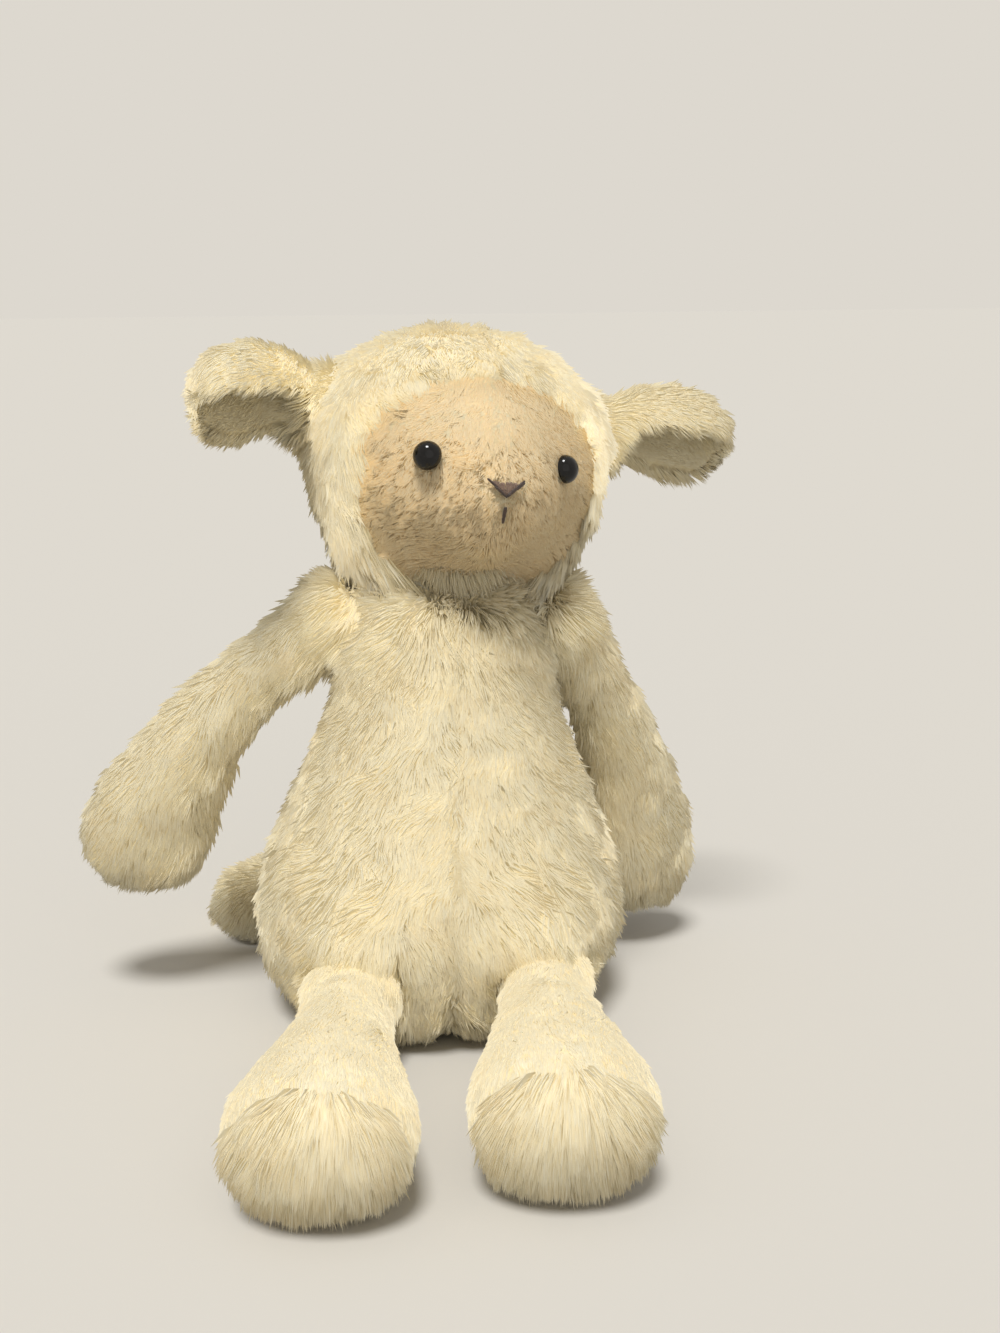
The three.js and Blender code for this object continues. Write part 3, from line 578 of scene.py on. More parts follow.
@dataclass
class Cover:
    """A stuffed cover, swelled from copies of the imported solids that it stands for."""

    CLOTH_FRAMES = 20
    CLOTH_QUALITY = 4
    SEWN_SHARE = 0.7
    FAR = 1.0
    SAME_PLACE = 0.01 * MM

    name: str
    body: str
    nodes: tuple[str, ...]
    replaced: tuple[str, ...]
    slot: str = "wool"
    finish: str = "backing"
    voxel: float = 4 * MM
    inset: float = 1.8 * MM
    relax: int = 6
    roots: list[Spot] = field(default_factory=list)
    root_reach: float = 9 * MM
    pressure: float = 4.0
    most_swell: float = 2.5 * MM
    seams: list[tuple[Vector, Vector]] = field(default_factory=list)
    seam_width: float = 2.2 * MM
    seam_depth: float = 1.3 * MM
    fill: float = 0.7
    shape: Callable[[Points], Points] = unchanged

    def build(self, packed: Packed) -> bpy.types.Object:
        """Returns the finished cover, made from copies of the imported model's solids."""
        cover = self._joined_copy(packed)
        self._keep_outside(cover)
        apply_modifier(cover, "SMOOTH", factor=0.5, iterations=self.relax)
        set_corners(cover, self.shape(corners_of(cover)))
        self._draw_in(cover)
        if self.pressure:
            self._swell(cover)
        apply_modifier(cover, "SUBSURF", levels=1, render_levels=1)
        self._sink_seams(cover)
        select_only(cover)
        bpy.ops.object.shade_smooth()
        dress(cover, self.finish)
        return sew(cover, self.body, self.slot, *self.replaced)

    def _joined_copy(self, packed: Packed) -> bpy.types.Object:
        """Returns one remeshed object of copies of the solids."""
        copies = []
        for node in self.nodes:
            copy = bpy.data.objects.new(self.name, packed.nodes[node].data.copy())
            bpy.context.scene.collection.objects.link(copy)
            copies.append(copy)
        select_only(*copies)
        bpy.ops.object.join()
        joined = bpy.context.view_layer.objects.active
        joined.name = self.name
        bpy.ops.object.mode_set(mode="EDIT")
        bpy.ops.mesh.select_all(action="SELECT")
        bpy.ops.mesh.remove_doubles(threshold=self.SAME_PLACE)
        bpy.ops.object.mode_set(mode="OBJECT")
        apply_modifier(joined, "REMESH", mode="VOXEL", voxel_size=self.voxel)
        return joined

    def _keep_outside(self, cover: bpy.types.Object) -> None:
        """Deletes the closed pockets that the gaps between the solids leave inside."""
        shape = bmesh.new()
        shape.from_mesh(cover.data)
        left = set(shape.verts)
        islands = []
        while left:
            island = [left.pop()]
            for vert in island:
                for edge in vert.link_edges:
                    other = edge.other_vert(vert)
                    if other in left:
                        left.remove(other)
                        island.append(other)
            islands.append(island)
        islands.sort(key=len)
        inner = [vert for island in islands[:-1] for vert in island]
        bmesh.ops.delete(shape, geom=inner, context="VERTS")
        shape.to_mesh(cover.data)
        shape.free()

    def _draw_in(self, cover: bpy.types.Object) -> None:
        """Makes room for the pile everywhere but at the sewn roots."""
        points = corners_of(cover)
        depth = np.full(len(points), self.inset)
        for root in self.roots:
            depth *= 1 - bell(root.beyond(points), self.root_reach)
        set_corners(cover, points - slopes_of(cover) * depth[:, None])

    def _from_seam(self, points: Points) -> Points:
        """Returns each point's distance to the nearest seam."""
        nearest = np.full(len(points), self.FAR)
        for place, normal in self.seams:
            nearest = np.minimum(nearest, np.abs((points - np.array(place)) @ np.array(normal)))
        return nearest

    def _swell(self, cover: bpy.types.Object) -> None:
        """Blows the cloth up between its seams, and caps how far it moves."""
        start = corners_of(cover)
        pinned = cover.vertex_groups.new(name="sewn")
        sewn = np.flatnonzero(self._from_seam(start) < self.voxel * self.SEWN_SHARE)
        pinned.add(sewn.tolist(), 1.0, "REPLACE")
        modifier = cover.modifiers.new("Cloth", "CLOTH")
        cloth = modifier.settings
        cloth.use_pressure = True
        cloth.uniform_pressure_force = self.pressure
        cloth.effector_weights.gravity = 0
        cloth.quality = self.CLOTH_QUALITY
        if len(sewn):
            cloth.vertex_group_mass = pinned.name
        scene = bpy.context.scene
        for frame in range(1, self.CLOTH_FRAMES + 1):
            scene.frame_set(frame)
        select_only(cover)
        bpy.ops.object.modifier_apply(modifier=modifier.name)
        scene.frame_set(1)
        cover.vertex_groups.clear()
        moved = corners_of(cover) - start
        reach = np.linalg.norm(moved, axis=1, keepdims=True)
        capped = moved * np.minimum(1, self.most_swell / np.maximum(reach, 1e-9))
        set_corners(cover, start + capped)

    def _sink_seams(self, cover: bpy.types.Object) -> None:
        """Draws the cloth in along the seams."""
        if not self.seams:
            return
        points = corners_of(cover)
        depth = self.seam_depth * bell(self._from_seam(points), self.seam_width)
        set_corners(cover, points - slopes_of(cover) * depth[:, None])


# Pile


def whole(points: Points) -> Points:
    """Returns 1 for each point."""
    return np.ones(len(points))


@dataclass(frozen=True)
class Pile:
    """How a pile stands and falls. Its density counts strands on a square metre of cloth."""

    length: float
    density: float
    width: float = 0.42 * MM
    lift: float = math.radians(24)
    fall: float = math.radians(14)
    lock: float = 4 * MM
    gather: float = 0.3
    fine_gather: float = 0.42
    swirl: float = math.radians(27)
    swirl_size: float = 16 * MM
    tousle: float = math.radians(11)
    sag: float = 0.08
    uneven: float = 0.2
    strays: float = 0.04


@dataclass
class Strands:
    """The pile of one panel: tapered strands that stand on a cover, gathered in locks."""

    MAP = "OFBake"
    COLUMNS = 48
    MOST_SHADE = 0.999
    FACES = np.array([[2, 1, 3], [1, 2, 0], [0, 3, 1], [0, 2, 3]])
    CORNERS = 4
    LEAST_BEND = 0.08 * MM
    ROOT_DEPTH = 0.6 * MM
    # How the normals lean, so that the pile is shaded as one soft surface
    ROUNDNESS = 0.55
    TILT = 0.3
    FLANK_RISE = 0.3
    # How the strands differ
    LENGTHS = (0.75, 1.05)
    LENGTH_WAVE = 7 * MM
    WIDTHS = (0.6, 1.25)
    LIFT_CHANGE = math.radians(9)
    LIFT_WAVE = 5 * MM
    LIFT_SPREAD = math.radians(4)
    STRAY_LIFT = math.radians(26)
    FINE_SWIRL = 0.9
    FINE_SWIRL_SIZE = 5 * MM
    # How the locks draw together
    FINE_LOCKS = 2.6
    PULLS = (0.6, 1.0)
    MIDDLE_PULL = 0.45
    # How the shades differ
    SHADE_CHANGE = 0.3
    SHADE_WAVE = 9 * MM
    SHADE_SPREAD = 0.22
    COLUMN_EDGE = 0.1

    name: str
    body: str
    cover: bpy.types.Object
    pile: Pile
    lay: Field
    where: Share
    seed: int
    replaced: tuple[str, ...] = ()
    reach: Share = whole
    stand: Share = whole
    finish: str = "wool"
    slot: str = "wool"
    shadow: bool = False

    def build(self, neighbours: Neighbours) -> bpy.types.Object:
        """Returns the finished pile as one object, which stands for its panel.

        Args:
            neighbours: the covers that it keeps clear of.
        Returns:
            The pile.
        """
        rng = np.random.default_rng(self.seed)
        roots, normals = self._sample(rng)
        free = neighbours.clear(roots, self.body)
        roots, normals = roots[free], normals[free]
        direction = self._comb(roots, normals, rng)
        length = self.pile.length * self.reach(roots)
        wander = SmoothNoise(self.LENGTH_WAVE, self.seed + 3)(roots)
        length = length * (1 + self.pile.uneven * wander)
        length = length * rng.uniform(*self.LENGTHS, len(roots))
        lift = self.pile.lift * self.stand(roots)
        lift = lift + self.LIFT_CHANGE * SmoothNoise(self.LIFT_WAVE, self.seed + 4)(roots)
        lift = lift + rng.normal(0, self.LIFT_SPREAD, len(roots))
        lift = lift + self.STRAY_LIFT * (rng.random(len(roots)) < self.pile.strays)
        middle_way = direction * np.cos(lift)[:, None] + normals * np.sin(lift)[:, None]
        lift = lift - self.pile.fall
        tip_way = direction * np.cos(lift)[:, None] + normals * np.sin(lift)[:, None]
        half = length[:, None] / 2
        middles = roots + middle_way * half
        tips = middles + tip_way * half
        tips[:, 2] -= self.pile.sag * length
        middles, tips = self._gather(roots, middles, tips, self.pile.lock, self.pile.gather, rng)
        middles, tips = self._gather(
            roots, middles, tips, self.pile.lock / self.FINE_LOCKS, self.pile.fine_gather, rng
        )
        for points in (middles, tips):
            points[:, 2] = np.maximum(points[:, 2], self.pile.width)
        below = roots - normals * self.ROOT_DEPTH
        obj = self._mesh(below, middles, tips, normals, rng)
        dress(obj, self.finish)
        return sew(obj, self.body, self.slot, *self.replaced)

    def _sample(self, rng: np.random.Generator) -> tuple[Points, Points]:
        """Draws the strands' roots over the panel.

        Args:
            rng: the random draw.
        Returns:
            The roots and the cloth's direction at each.
        """
        mesh = self.cover.data
        mesh.calc_loop_triangles()
        corners = np.empty(len(mesh.loop_triangles) * 3, dtype=int)
        mesh.loop_triangles.foreach_get("vertices", corners)
        corners = corners.reshape(-1, 3)
        points = corners_of(self.cover)
        slopes = slopes_of(self.cover)
        a, b, c = (points[corners[:, k]] for k in range(3))
        area = np.linalg.norm(np.cross(b - a, c - a), axis=1) / 2
        weight = area * self.where((a + b + c) / 3)
        count = int(weight.sum() * self.pile.density)
        chosen = rng.choice(len(weight), count, p=weight / weight.sum())
        one, two = rng.random(count), rng.random(count)
        over = one + two > 1
        one[over], two[over] = 1 - one[over], 1 - two[over]
        parts = np.stack([1 - one - two, one, two])[:, :, None]
        roots = sum(parts[k] * points[corners[chosen, k]] for k in range(3))
        normals = sum(parts[k] * slopes[corners[chosen, k]] for k in range(3))
        return roots, unit(normals)

    def _comb(self, roots: Points, normals: Points, rng: np.random.Generator) -> Points:
        """Finds the way that the pile lies, along the cloth.

        Args:
            roots: the strands' roots.
            normals: the cloth's direction at each.
            rng: the random draw.
        Returns:
            The directions.
        """
        way = self.lay(roots, normals)
        way = unit(way - normals * np.sum(way * normals, axis=1, keepdims=True))
        turn = self.pile.swirl * SmoothNoise(self.pile.swirl_size, self.seed + 1)(roots)
        fine = SmoothNoise(self.FINE_SWIRL_SIZE, self.seed + 2)(roots)
        turn = turn + self.pile.swirl * self.FINE_SWIRL * fine
        turn = turn + rng.normal(0, self.pile.tousle, len(roots))
        side = np.cross(normals, way)
        return way * np.cos(turn)[:, None] + side * np.sin(turn)[:, None]

    def _gather(
        self,
        roots: Points,
        middles: Points,
        tips: Points,
        size: float,
        strength: float,
        rng: np.random.Generator,
    ) -> tuple[Points, Points]:
        """Draws strands together into locks.

        Args:
            roots, middles, tips: the strands.
            size: how broad a lock is.
            strength: how close its tips come, from 0 to 1.
            rng: the random draw.
        Returns:
            The new middles and tips.
        """
        share = self.pile.density * size * size
        leaders = rng.choice(len(roots), max(2, int(len(roots) / max(share, 1))), replace=False)
        tree = KDTree(len(leaders))
        for index, leader in enumerate(leaders):
            tree.insert(roots[leader], index)
        tree.balance()
        nearest = np.array([tree.find(root)[1] for root in roots])
        leader = leaders[nearest]
        pull = strength * rng.uniform(*self.PULLS, len(roots))[:, None]
        new_tips = tips + (tips[leader] - tips) * pull
        new_middles = middles + (middles[leader] - middles) * pull * self.MIDDLE_PULL
        return new_middles, new_tips

    def _mesh(
        self,
        roots: Points,
        middles: Points,
        tips: Points,
        normals: Points,
        rng: np.random.Generator,
    ) -> bpy.types.Object:
        """Makes a closed spindle of each strand.

        Args:
            roots, middles, tips: the strands.
            normals: the cloth's directions.
            rng: the random draw.
        Returns:
            The object, with the strands' map.
        """
        count = len(roots)
        along = unit(tips - roots)
        side = unit(np.cross(along, normals) + 1e-6)
        out = np.cross(side, along)
        bend = np.sum((middles - roots) * out, axis=1, keepdims=True)
        middles = middles + out * np.maximum(self.LEAST_BEND - bend, 0)
        width = (self.pile.width * rng.uniform(*self.WIDTHS, count) / 2)[:, None]
        points = np.empty((count, self.CORNERS, 3))
        points[:, 0] = roots
        points[:, 1] = middles + side * width
        points[:, 2] = middles - side * width
        points[:, 3] = tips
        loops = (np.arange(count)[:, None, None] * self.CORNERS + self.FACES).ravel()
        mesh = bpy.data.meshes.new(self.name)
        mesh.vertices.add(count * self.CORNERS)
        mesh.vertices.foreach_set("co", points.astype(np.float32).ravel())
        mesh.loops.add(len(loops))
        mesh.loops.foreach_set("vertex_index", loops.astype(np.int32))
        mesh.polygons.add(len(loops) // 3)
        mesh.polygons.foreach_set("loop_start", np.arange(0, len(loops), 3, dtype=np.int32))
        mesh.update(calc_edges=True)
        mesh.shade_smooth()
        upper = unit(normals + out * self.TILT)
        by_corner = {0: upper, 1: upper + side * self.ROUNDNESS, 3: upper}
        by_corner[2] = upper - side * self.ROUNDNESS
        shade = np.empty((count, len(self.FACES), 3, 3))
        for face, corners in enumerate(self.FACES):
            for place, corner in enumerate(corners):
                shade[:, face, place] = by_corner[int(corner)]
        shade[:, 2] = (side + normals * self.FLANK_RISE)[:, None]
        shade[:, 3] = (normals * self.FLANK_RISE - side)[:, None]
        mesh.normals_split_custom_set(unit(shade).reshape(-1, 3))
        self._map_strands(mesh, middles, rng)
        obj = bpy.data.objects.new(self.name, mesh)
        # Light shines through thin wool, and the cover under it throws the shadow
        obj.visible_shadow = self.shadow
        bpy.context.scene.collection.objects.link(obj)
        return obj

    def _map_strands(
        self, mesh: bpy.types.Mesh, middles: Points, rng: np.random.Generator
    ) -> None:
        """Gives each strand a column of the map, which runs from its root to its tip."""
        count = len(middles)
        wave = SmoothNoise(self.SHADE_WAVE, self.seed + 5)(middles)
        shade = 0.5 + self.SHADE_CHANGE * wave + rng.normal(0, self.SHADE_SPREAD, count)
        shade = np.clip(shade, 0, self.MOST_SHADE)
        column = np.floor(shade * self.COLUMNS)
        low = (column + self.COLUMN_EDGE) / self.COLUMNS
        high = (column + (1 - self.COLUMN_EDGE)) / self.COLUMNS
        centre = (low + high) / 2
        spots = {0: (centre, 0.0), 1: (low, 0.5), 2: (high, 0.5), 3: (centre, 1.0)}
        place = np.empty((count, len(self.FACES), 3, 2))
        for face, corners in enumerate(self.FACES):
            for index, corner in enumerate(corners):
                place[:, face, index, 0], place[:, face, index, 1] = spots[int(corner)]
        layer = mesh.uv_layers.new(name=self.MAP)
        layer.uv.foreach_set("vector", place.astype(np.float32).ravel())


@dataclass(frozen=True)
class Spine:
    """The middle line of a limb, found from its solid."""

    BINS = 9
    ROOT_MARGIN = 1.15
    BLEND = 12 * MM

    middles: Points
    ways: Points

    @classmethod
    def of(cls, packed: Packed, nodes: tuple[str, ...], root: Spot) -> "Spine":
        """Follows the solids' slices away from their joint.

        Args:
            packed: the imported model.
            nodes: the solids.
            root: the round root that turns in the joint.
        Returns:
            The middle line and its directions.
        """
        points = np.concatenate([corners_of(packed.nodes[node]) for node in nodes])
        gaps = np.linalg.norm(points - root.place, axis=1)
        edges = np.linspace(root.radius * cls.ROOT_MARGIN, gaps.max(), cls.BINS + 1)
        middles = [root.place]
        for low, high in zip(edges, edges[1:]):
            inside = (gaps >= low) & (gaps <= high)
            if inside.any():
                middles.append(points[inside].mean(axis=0))
        line = np.array(middles)
        return cls(line, unit(np.gradient(line, axis=0)))

    def along(self, points: Points) -> Points:
        """Returns the limb's direction at each point."""
        gaps = np.linalg.norm(points[:, None] - self.middles[None], axis=2)
        weight = bell(gaps, self.BLEND) + 1e-9
        return unit(weight @ self.ways)


class Side(Enum):
    """The sheep's own sides."""

    RIGHT = "right"
    LEFT = "left"


# Radius of the round root or neck in each seat
ROOTS = {
    "right_arm_swing": 13 * MM,
    "left_arm_swing": 13 * MM,
    "right_leg_lift": 16.5 * MM,
    "left_leg_lift": 16.5 * MM,
    "right_ear_flap": 8 * MM,
    "left_ear_flap": 8 * MM,
    "tail_wag": 7 * MM,
    "head_turn": 20 * MM,
}


# Torso


@dataclass
class Torso:
    """The pear-shaped body with its middle seam, and the round neck on it."""

    PANELS = ("front_left", "front_right", "back_left", "back_right")
    # How far the wool leans outwards, away from the parting and the neck, and forwards
    OUTWARDS = 0.45
    OUTWARDS_WIDTH = 25 * MM
    FROM_PARTING = 0.5
    FROM_NECK = 0.7
    FORWARDS = 0.1
    # By how much its length and its lift change
    LONGER_AT_COLLAR = 0.75
    LONGER_OVER_LEGS = 0.6
    SHORTER_AT_PARTING = 0.45
    STEEPER_AT_COLLAR = 0.4
    # How far the belly sinks for each step forwards
    SINK = 0.6

    packed: Packed
    pile: Pile = Pile(
        8 * MM,
        3.4e6,
        swirl=math.radians(44),
        swirl_size=11 * MM,
        tousle=math.radians(17),
    )
    back_density: float = 2.2e6
    seat_pile: Pile = Pile(3 * MM, 1.6e6)
    neck_pile: Pile = Pile(15 * MM, 2.8e6, lift=math.radians(26), strays=0)
    seam_normal: Vector = field(default_factory=lambda: Vector((0.998, 0, -0.061)))
    seam_top: float = 82 * MM
    seam_fade: float = 20 * MM
    parting_width: float = 7 * MM
    bare_width: float = 3.5 * MM
    collar_height: float = 108 * MM
    collar_depth: float = 14 * MM
    overhang: float = 8 * MM
    overhang_rise: float = 24 * MM
    overhang_half_width: float = 22 * MM
    overhang_half_height: float = 17 * MM

    def build_covers(self, neighbours: Neighbours) -> None:
        """Makes the covers of the torso and the neck."""
        nodes = tuple(f"{name}_panel" for name in self.PANELS)
        inside = ("torso_stuffing", "pellet_bag", "pellets")
        self.cover = Cover(
            "torso_cover",
            "torso",
            nodes + ("seat_panel",) + inside,
            inside,
            seams=[(Vector(), self.seam_normal)],
            shape=self.hang,
            roots=[Spot(self.packed.pivot(joint), radius) for joint, radius in ROOTS.items()],
        ).build(self.packed)
        self.neck_cover = Cover(
            "neck_cover", "neck", ("neck",), (), voxel=2.5 * MM, inset=0.3 * MM, pressure=0
        ).build(self.packed)
        neighbours.add(self.cover, "torso")
        neighbours.add(self.neck_cover, "neck")

    def build_piles(self, neighbours: Neighbours) -> None:
        """Makes the piles of the torso's panels and of the neck."""
        nodes = tuple(f"{name}_panel" for name in self.PANELS)
        on = Panels(self.packed, nodes + ("seat_panel",))
        for seed, (name, node) in enumerate(zip(self.PANELS, nodes)):
            density = self.pile.density if "front" in name else self.back_density
            pile = replace(self.pile, density=density)
            Strands(
                f"{name}_pile",
                "torso",
                self.cover,
                pile,
                self.lay,
                on.share(node),
                SEEDS["torso"] + seed * SEED_STEP,
                (node,),
                self.reach,
                self.stand,
            ).build(neighbours)
        Strands(
            "seat_pile",
            "torso",
            self.cover,
            self.seat_pile,
            self.lay,
            on.share("seat_panel"),
            SEEDS["seat"],
            ("seat_panel",),
        ).build(neighbours)
        Strands(
            "neck_pile",
            "neck",
            self.neck_cover,
            self.neck_pile,
            self.lay,
            whole,
            SEEDS["neck"],
            ("neck",),
        ).build(neighbours)

    def over_legs(self, points: Points) -> Points:
        """Returns 1 where the belly hangs over the legs, less away from there."""
        most = np.zeros(len(points))
        for side in Side:
            across, _, up = self.packed.pivot(f"{side.value}_leg_lift")
            aside = (points[:, 0] - across) / self.overhang_half_width
            above = (points[:, 2] - up - self.overhang_rise) / self.overhang_half_height
            most = np.maximum(most, bell(np.hypot(aside, above), 1))
        return most * (points[:, 1] < 0)

    def hang(self, points: Points) -> Points:
        """Lets the heavy belly hang forwards and down over the legs."""
        shift = np.array([0, -self.overhang, -self.SINK * self.overhang])
        return points + self.over_legs(points)[:, None] * shift

    def lay(self, roots: Points, normals: Points) -> Points:
        """Returns the wool's way: down, away from the middle seam, and out from the neck."""
        gap = roots @ np.array(self.seam_normal)
        part = bell(gap, self.parting_width) * (roots[:, 1] < 0) * (roots[:, 2] < self.seam_top)
        out = self.OUTWARDS * np.tanh(gap / self.OUTWARDS_WIDTH)
        way = ways_of(out + self.FROM_PARTING * part * np.sign(gap), -self.FORWARDS, -1)
        from_neck = roots - self.packed.pivot("head_turn")
        from_neck[:, 2] = 0
        return way + self.FROM_NECK * self.collar(roots)[:, None] * unit(from_neck)

    def collar(self, points: Points) -> Points:
        """Returns 1 at the top of the body, where the wool stands up under the chin."""
        return rise(points[:, 2], self.collar_height, self.collar_depth)

    def reach(self, points: Points) -> Points:
        """Returns how long the wool is: shorter along the parting of the lower belly."""
        gap = np.abs(points @ np.array(self.seam_normal))
        low = (points[:, 1] < 0) * rise(-points[:, 2], -self.seam_top, self.seam_fade)
        parting = self.SHORTER_AT_PARTING * low * bell(gap, self.bare_width)
        longer = self.LONGER_AT_COLLAR * self.collar(points)
        return 1 + longer + self.LONGER_OVER_LEGS * self.over_legs(points) - parting

    def stand(self, points: Points) -> Points:
        """Returns how steeply the wool stands: most under the chin."""
        return 1 + self.STEEPER_AT_COLLAR * self.collar(points)


# Head


@dataclass
class Head:
    """The wool hood, the short-piled face, the eyes, nose and mouth."""

    NODES = ("hood_left_panel", "hood_right_panel", "face_panel")
    OPENING_POWER = 2.2
    BEHIND = 9.0
    # How far the hood's wool leans outwards, in over the face's border, and forwards
    HOOD_OUTWARDS = 0.55
    OVER_FACE = 1.2
    OVER_FACE_WIDTH = 0.16
    HOOD_FORWARDS = 0.6
    # By how much its length and its lift change
    LONGER_BY_EARS = 0.3
    LONGER_BELOW = 0.9
    SHORTER_AT_EDGE = 0.4
    EDGE_WIDTH = 0.09
    STEEPER_IN_FRINGE = 0.25
    STEEPER_BY_EARS = 0.4
    FRINGE_PLACE = 1.1
    FRINGE_WIDTH = 0.18
    # How far the face's pile leans outwards and down, and how it changes over the face
    FACE_OUTWARDS = 0.9
    FACE_DOWN = 0.6
    BARE_BY_NOSE = (8 * MM, 5 * MM)
    BARE_BY_MOUTH = (2.5 * MM, 5 * MM)
    SHORTER_BY_NOSE = 0.6
    SHORTER_BY_MOUTH = 0.5
    LEAST_LENGTH = 0.2
    LONGER_ON_CHIN = 0.9
    FEWER_ON_BROW = 0.93
    FLATTER_ON_BROW = 0.6
    # The nose's threads: how many fill it, how far across, and how uneven they are
    FILL_THREADS = 15
    FILL_SPREAD = 0.78
    FILL_TAPER = 0.9
    FILL_HEIGHTS = (0.8, 0.95)
    FILL_LEAN = 0.25 * MM
    UNEVEN = 0.7
    FILL_TOP_DEPTH = 0.5 * MM
    FILL_LOW_DEPTH = 0.3 * MM
    # Where each edge thread starts and ends, from the nose's corner, 1, to its tip, 0
    EDGE_THREADS = ((1.0, 0.5), (0.62, 0.0))
    EDGE_ROWS = 2
    # How far across each mouth thread starts, and how far it leans
    MOUTH_THREADS = ((-0.3 * MM, 0.25 * MM), (0.3 * MM, -0.15 * MM))
    MOUTH_DEPTH = 0.3 * MM
    # From how far in front of the head's middle the face is searched for
    IN_FRONT = 0.2

    packed: Packed
    rise: float = 36.5 * MM
    turn: Euler = field(
        default_factory=lambda: Euler(
            (math.radians(-13), math.radians(8.5), math.radians(12)), "XYZ"
        )
    )
    opening_half_width: float = 41 * MM
    opening_half_height: float = 33 * MM
    opening_drop: float = 8 * MM
    hood_half_width: float = 40 * MM
    hood_low: float = 18 * MM
    hood_low_depth: float = 14 * MM
    fringe_depth: float = 20 * MM
    ear_wool_width: float = 9 * MM
    brow: float = -8 * MM
    brow_depth: float = 14 * MM
    cheek_width: float = 13 * MM
    chin: float = 24 * MM
    chin_depth: float = 12 * MM
    nose_drop: float = 12 * MM
    nose_width: float = 12.5 * MM
    nose_height: float = 5.2 * MM
    mouth_drop: float = 20 * MM
    mouth_height: float = 5 * MM
    fill_radius: float = 0.36 * MM
    edge_radius: float = 0.4 * MM
    mouth_radius: float = 0.42 * MM
    eye_bare: float = 4.1 * MM
    hood_pile: Pile = Pile(9.5 * MM, 3e6, lock=6 * MM, gather=0.42, lift=math.radians(28))
    face_pile: Pile = Pile(
        3.7 * MM,
        4.6e6,
        width=0.32 * MM,
        lock=2.8 * MM,
        gather=0.5,
        lift=math.radians(36),
        swirl=math.radians(34),
        swirl_size=12 * MM,
        sag=0.05,
        strays=0,
    )
    face_tufts: Pile = replace(
        face_pile,
        density=1.6e6,
        gather=0.75,
        fine_gather=0.3,
        lift=math.radians(31),
    )

    def __post_init__(self) -> None:
        """Works out the head's own frame."""
        self.axes = np.array(self.turn.to_matrix())
        self.middle = self.packed.pivot("head_turn") + self.axes @ np.array([0, 0, self.rise])
        self.face_tree = self.packed.tree("face_panel")

    def build_covers(self, neighbours: Neighbours) -> None:
        """Makes the head's cover."""
        self.cover = Cover(
            "head_cover",
            "head",
            self.NODES + ("head_stuffing",),
            ("head_stuffing",),
            voxel=3.2 * MM,
            most_swell=1.5 * MM,
            roots=[Spot(self.packed.pivot(joint), radius) for joint, radius in ROOTS.items()],
        ).build(self.packed)
        neighbours.add(self.cover, "head")

    def build_piles(self, neighbours: Neighbours) -> None:
        """Makes the head's piles, its eyes and its stitches."""
        eyes = [Eye(self.packed, self, side) for side in Side]
        on_hood = Panels(self.packed, self.NODES)
        on_face = Panels(
            self.packed, self.NODES, [Spot(eye.base, self.eye_bare) for eye in eyes]
        )
        for seed, side in enumerate(Side):
            node = f"hood_{side.value}_panel"
            Strands(
                f"hood_{side.value}_pile",
                "head",
                self.cover,
                self.hood_pile,
                self.hood_lay,
                on_hood.share(node),
                SEEDS["hood"] + seed * SEED_STEP,
                (node,),
                self.hood_reach,
                self.hood_stand,
            ).build(neighbours)
        panel = on_face.share("face_panel")

        def tufted(points: Points) -> Points:
            """Returns how densely the face's tufts stand."""
            return panel(points) * self.below_brow(points)

        for name, pile, share, seed, nodes in (
            ("face_pile", self.face_tufts, tufted, SEEDS["face"], ("face_panel",)),
            ("face_underpile", self.face_pile, panel, SEEDS["underpile"], ()),
        ):
            Strands(
                name,
                "head",
                self.cover,
                pile,
                self.face_lay,
                share,
                seed,
                nodes,
                self.face_reach,
                self.face_stand,
                finish="short_pile",
                slot="short_pile",
                shadow=bool(nodes),
            ).build(neighbours)
        for eye in eyes:
            eye.build()
        self._nose()
        self._mouth()
        for side in Side:
            washer = self.packed.nodes[f"{side.value}_eye_washer"]
            dress(washer, "washer")

    def local(self, points: Points) -> Points:
        """Turns places into the head's own frame."""
        return (points - self.middle) @ self.axes

    def world(self, points: Points) -> Points:
        """Turns places in the head's own frame into places in the shared frame."""
        return np.asarray(points) @ self.axes.T + self.middle

    def hood_lay(self, roots: Points, normals: Points) -> Points:
        """Returns the hood wool's way: from the crown forwards, outwards and down."""
        side = np.clip(self.local(roots)[:, 0] / self.hood_half_width, -1, 1)
        over_face = bell(self.border(roots) - 1, self.OVER_FACE_WIDTH)
        out = side * (self.HOOD_OUTWARDS - self.OVER_FACE * over_face)
        return ways_of(out, -self.HOOD_FORWARDS, -1) @ self.axes.T

    def border(self, points: Points) -> Points:
        """Returns each point's place between the face's middle, 0, and its border, 1."""
        place = self.local(points)
        across = np.abs(place[:, 0]) / self.opening_half_width
        up = np.abs(place[:, 2] + self.opening_drop) / self.opening_half_height
        power = self.OPENING_POWER
        share = (across**power + up**power) ** (1 / power)
        return np.where(place[:, 1] < 0, share, self.BEHIND)

    def hood_reach(self, points: Points) -> Points:
        """Returns how long the hood's wool is: long at the ears and below, short at the edge."""
        up = self.local(points)[:, 2]
        low = rise(-up, self.hood_low, self.hood_low_depth)
        edge = (up > 0) * bell(self.border(points) - 1, self.EDGE_WIDTH)
        longer = self.LONGER_BY_EARS * self.by_ears(points) + self.LONGER_BELOW * low
        return 1 + longer - self.SHORTER_AT_EDGE * edge

    def hood_stand(self, points: Points) -> Points:
        """Returns how steeply the hood's wool stands: most in the fringe over the forehead."""
        in_fringe = self.STEEPER_IN_FRINGE * self.fringe(points)
        return 1 + in_fringe + self.STEEPER_BY_EARS * self.by_ears(points)

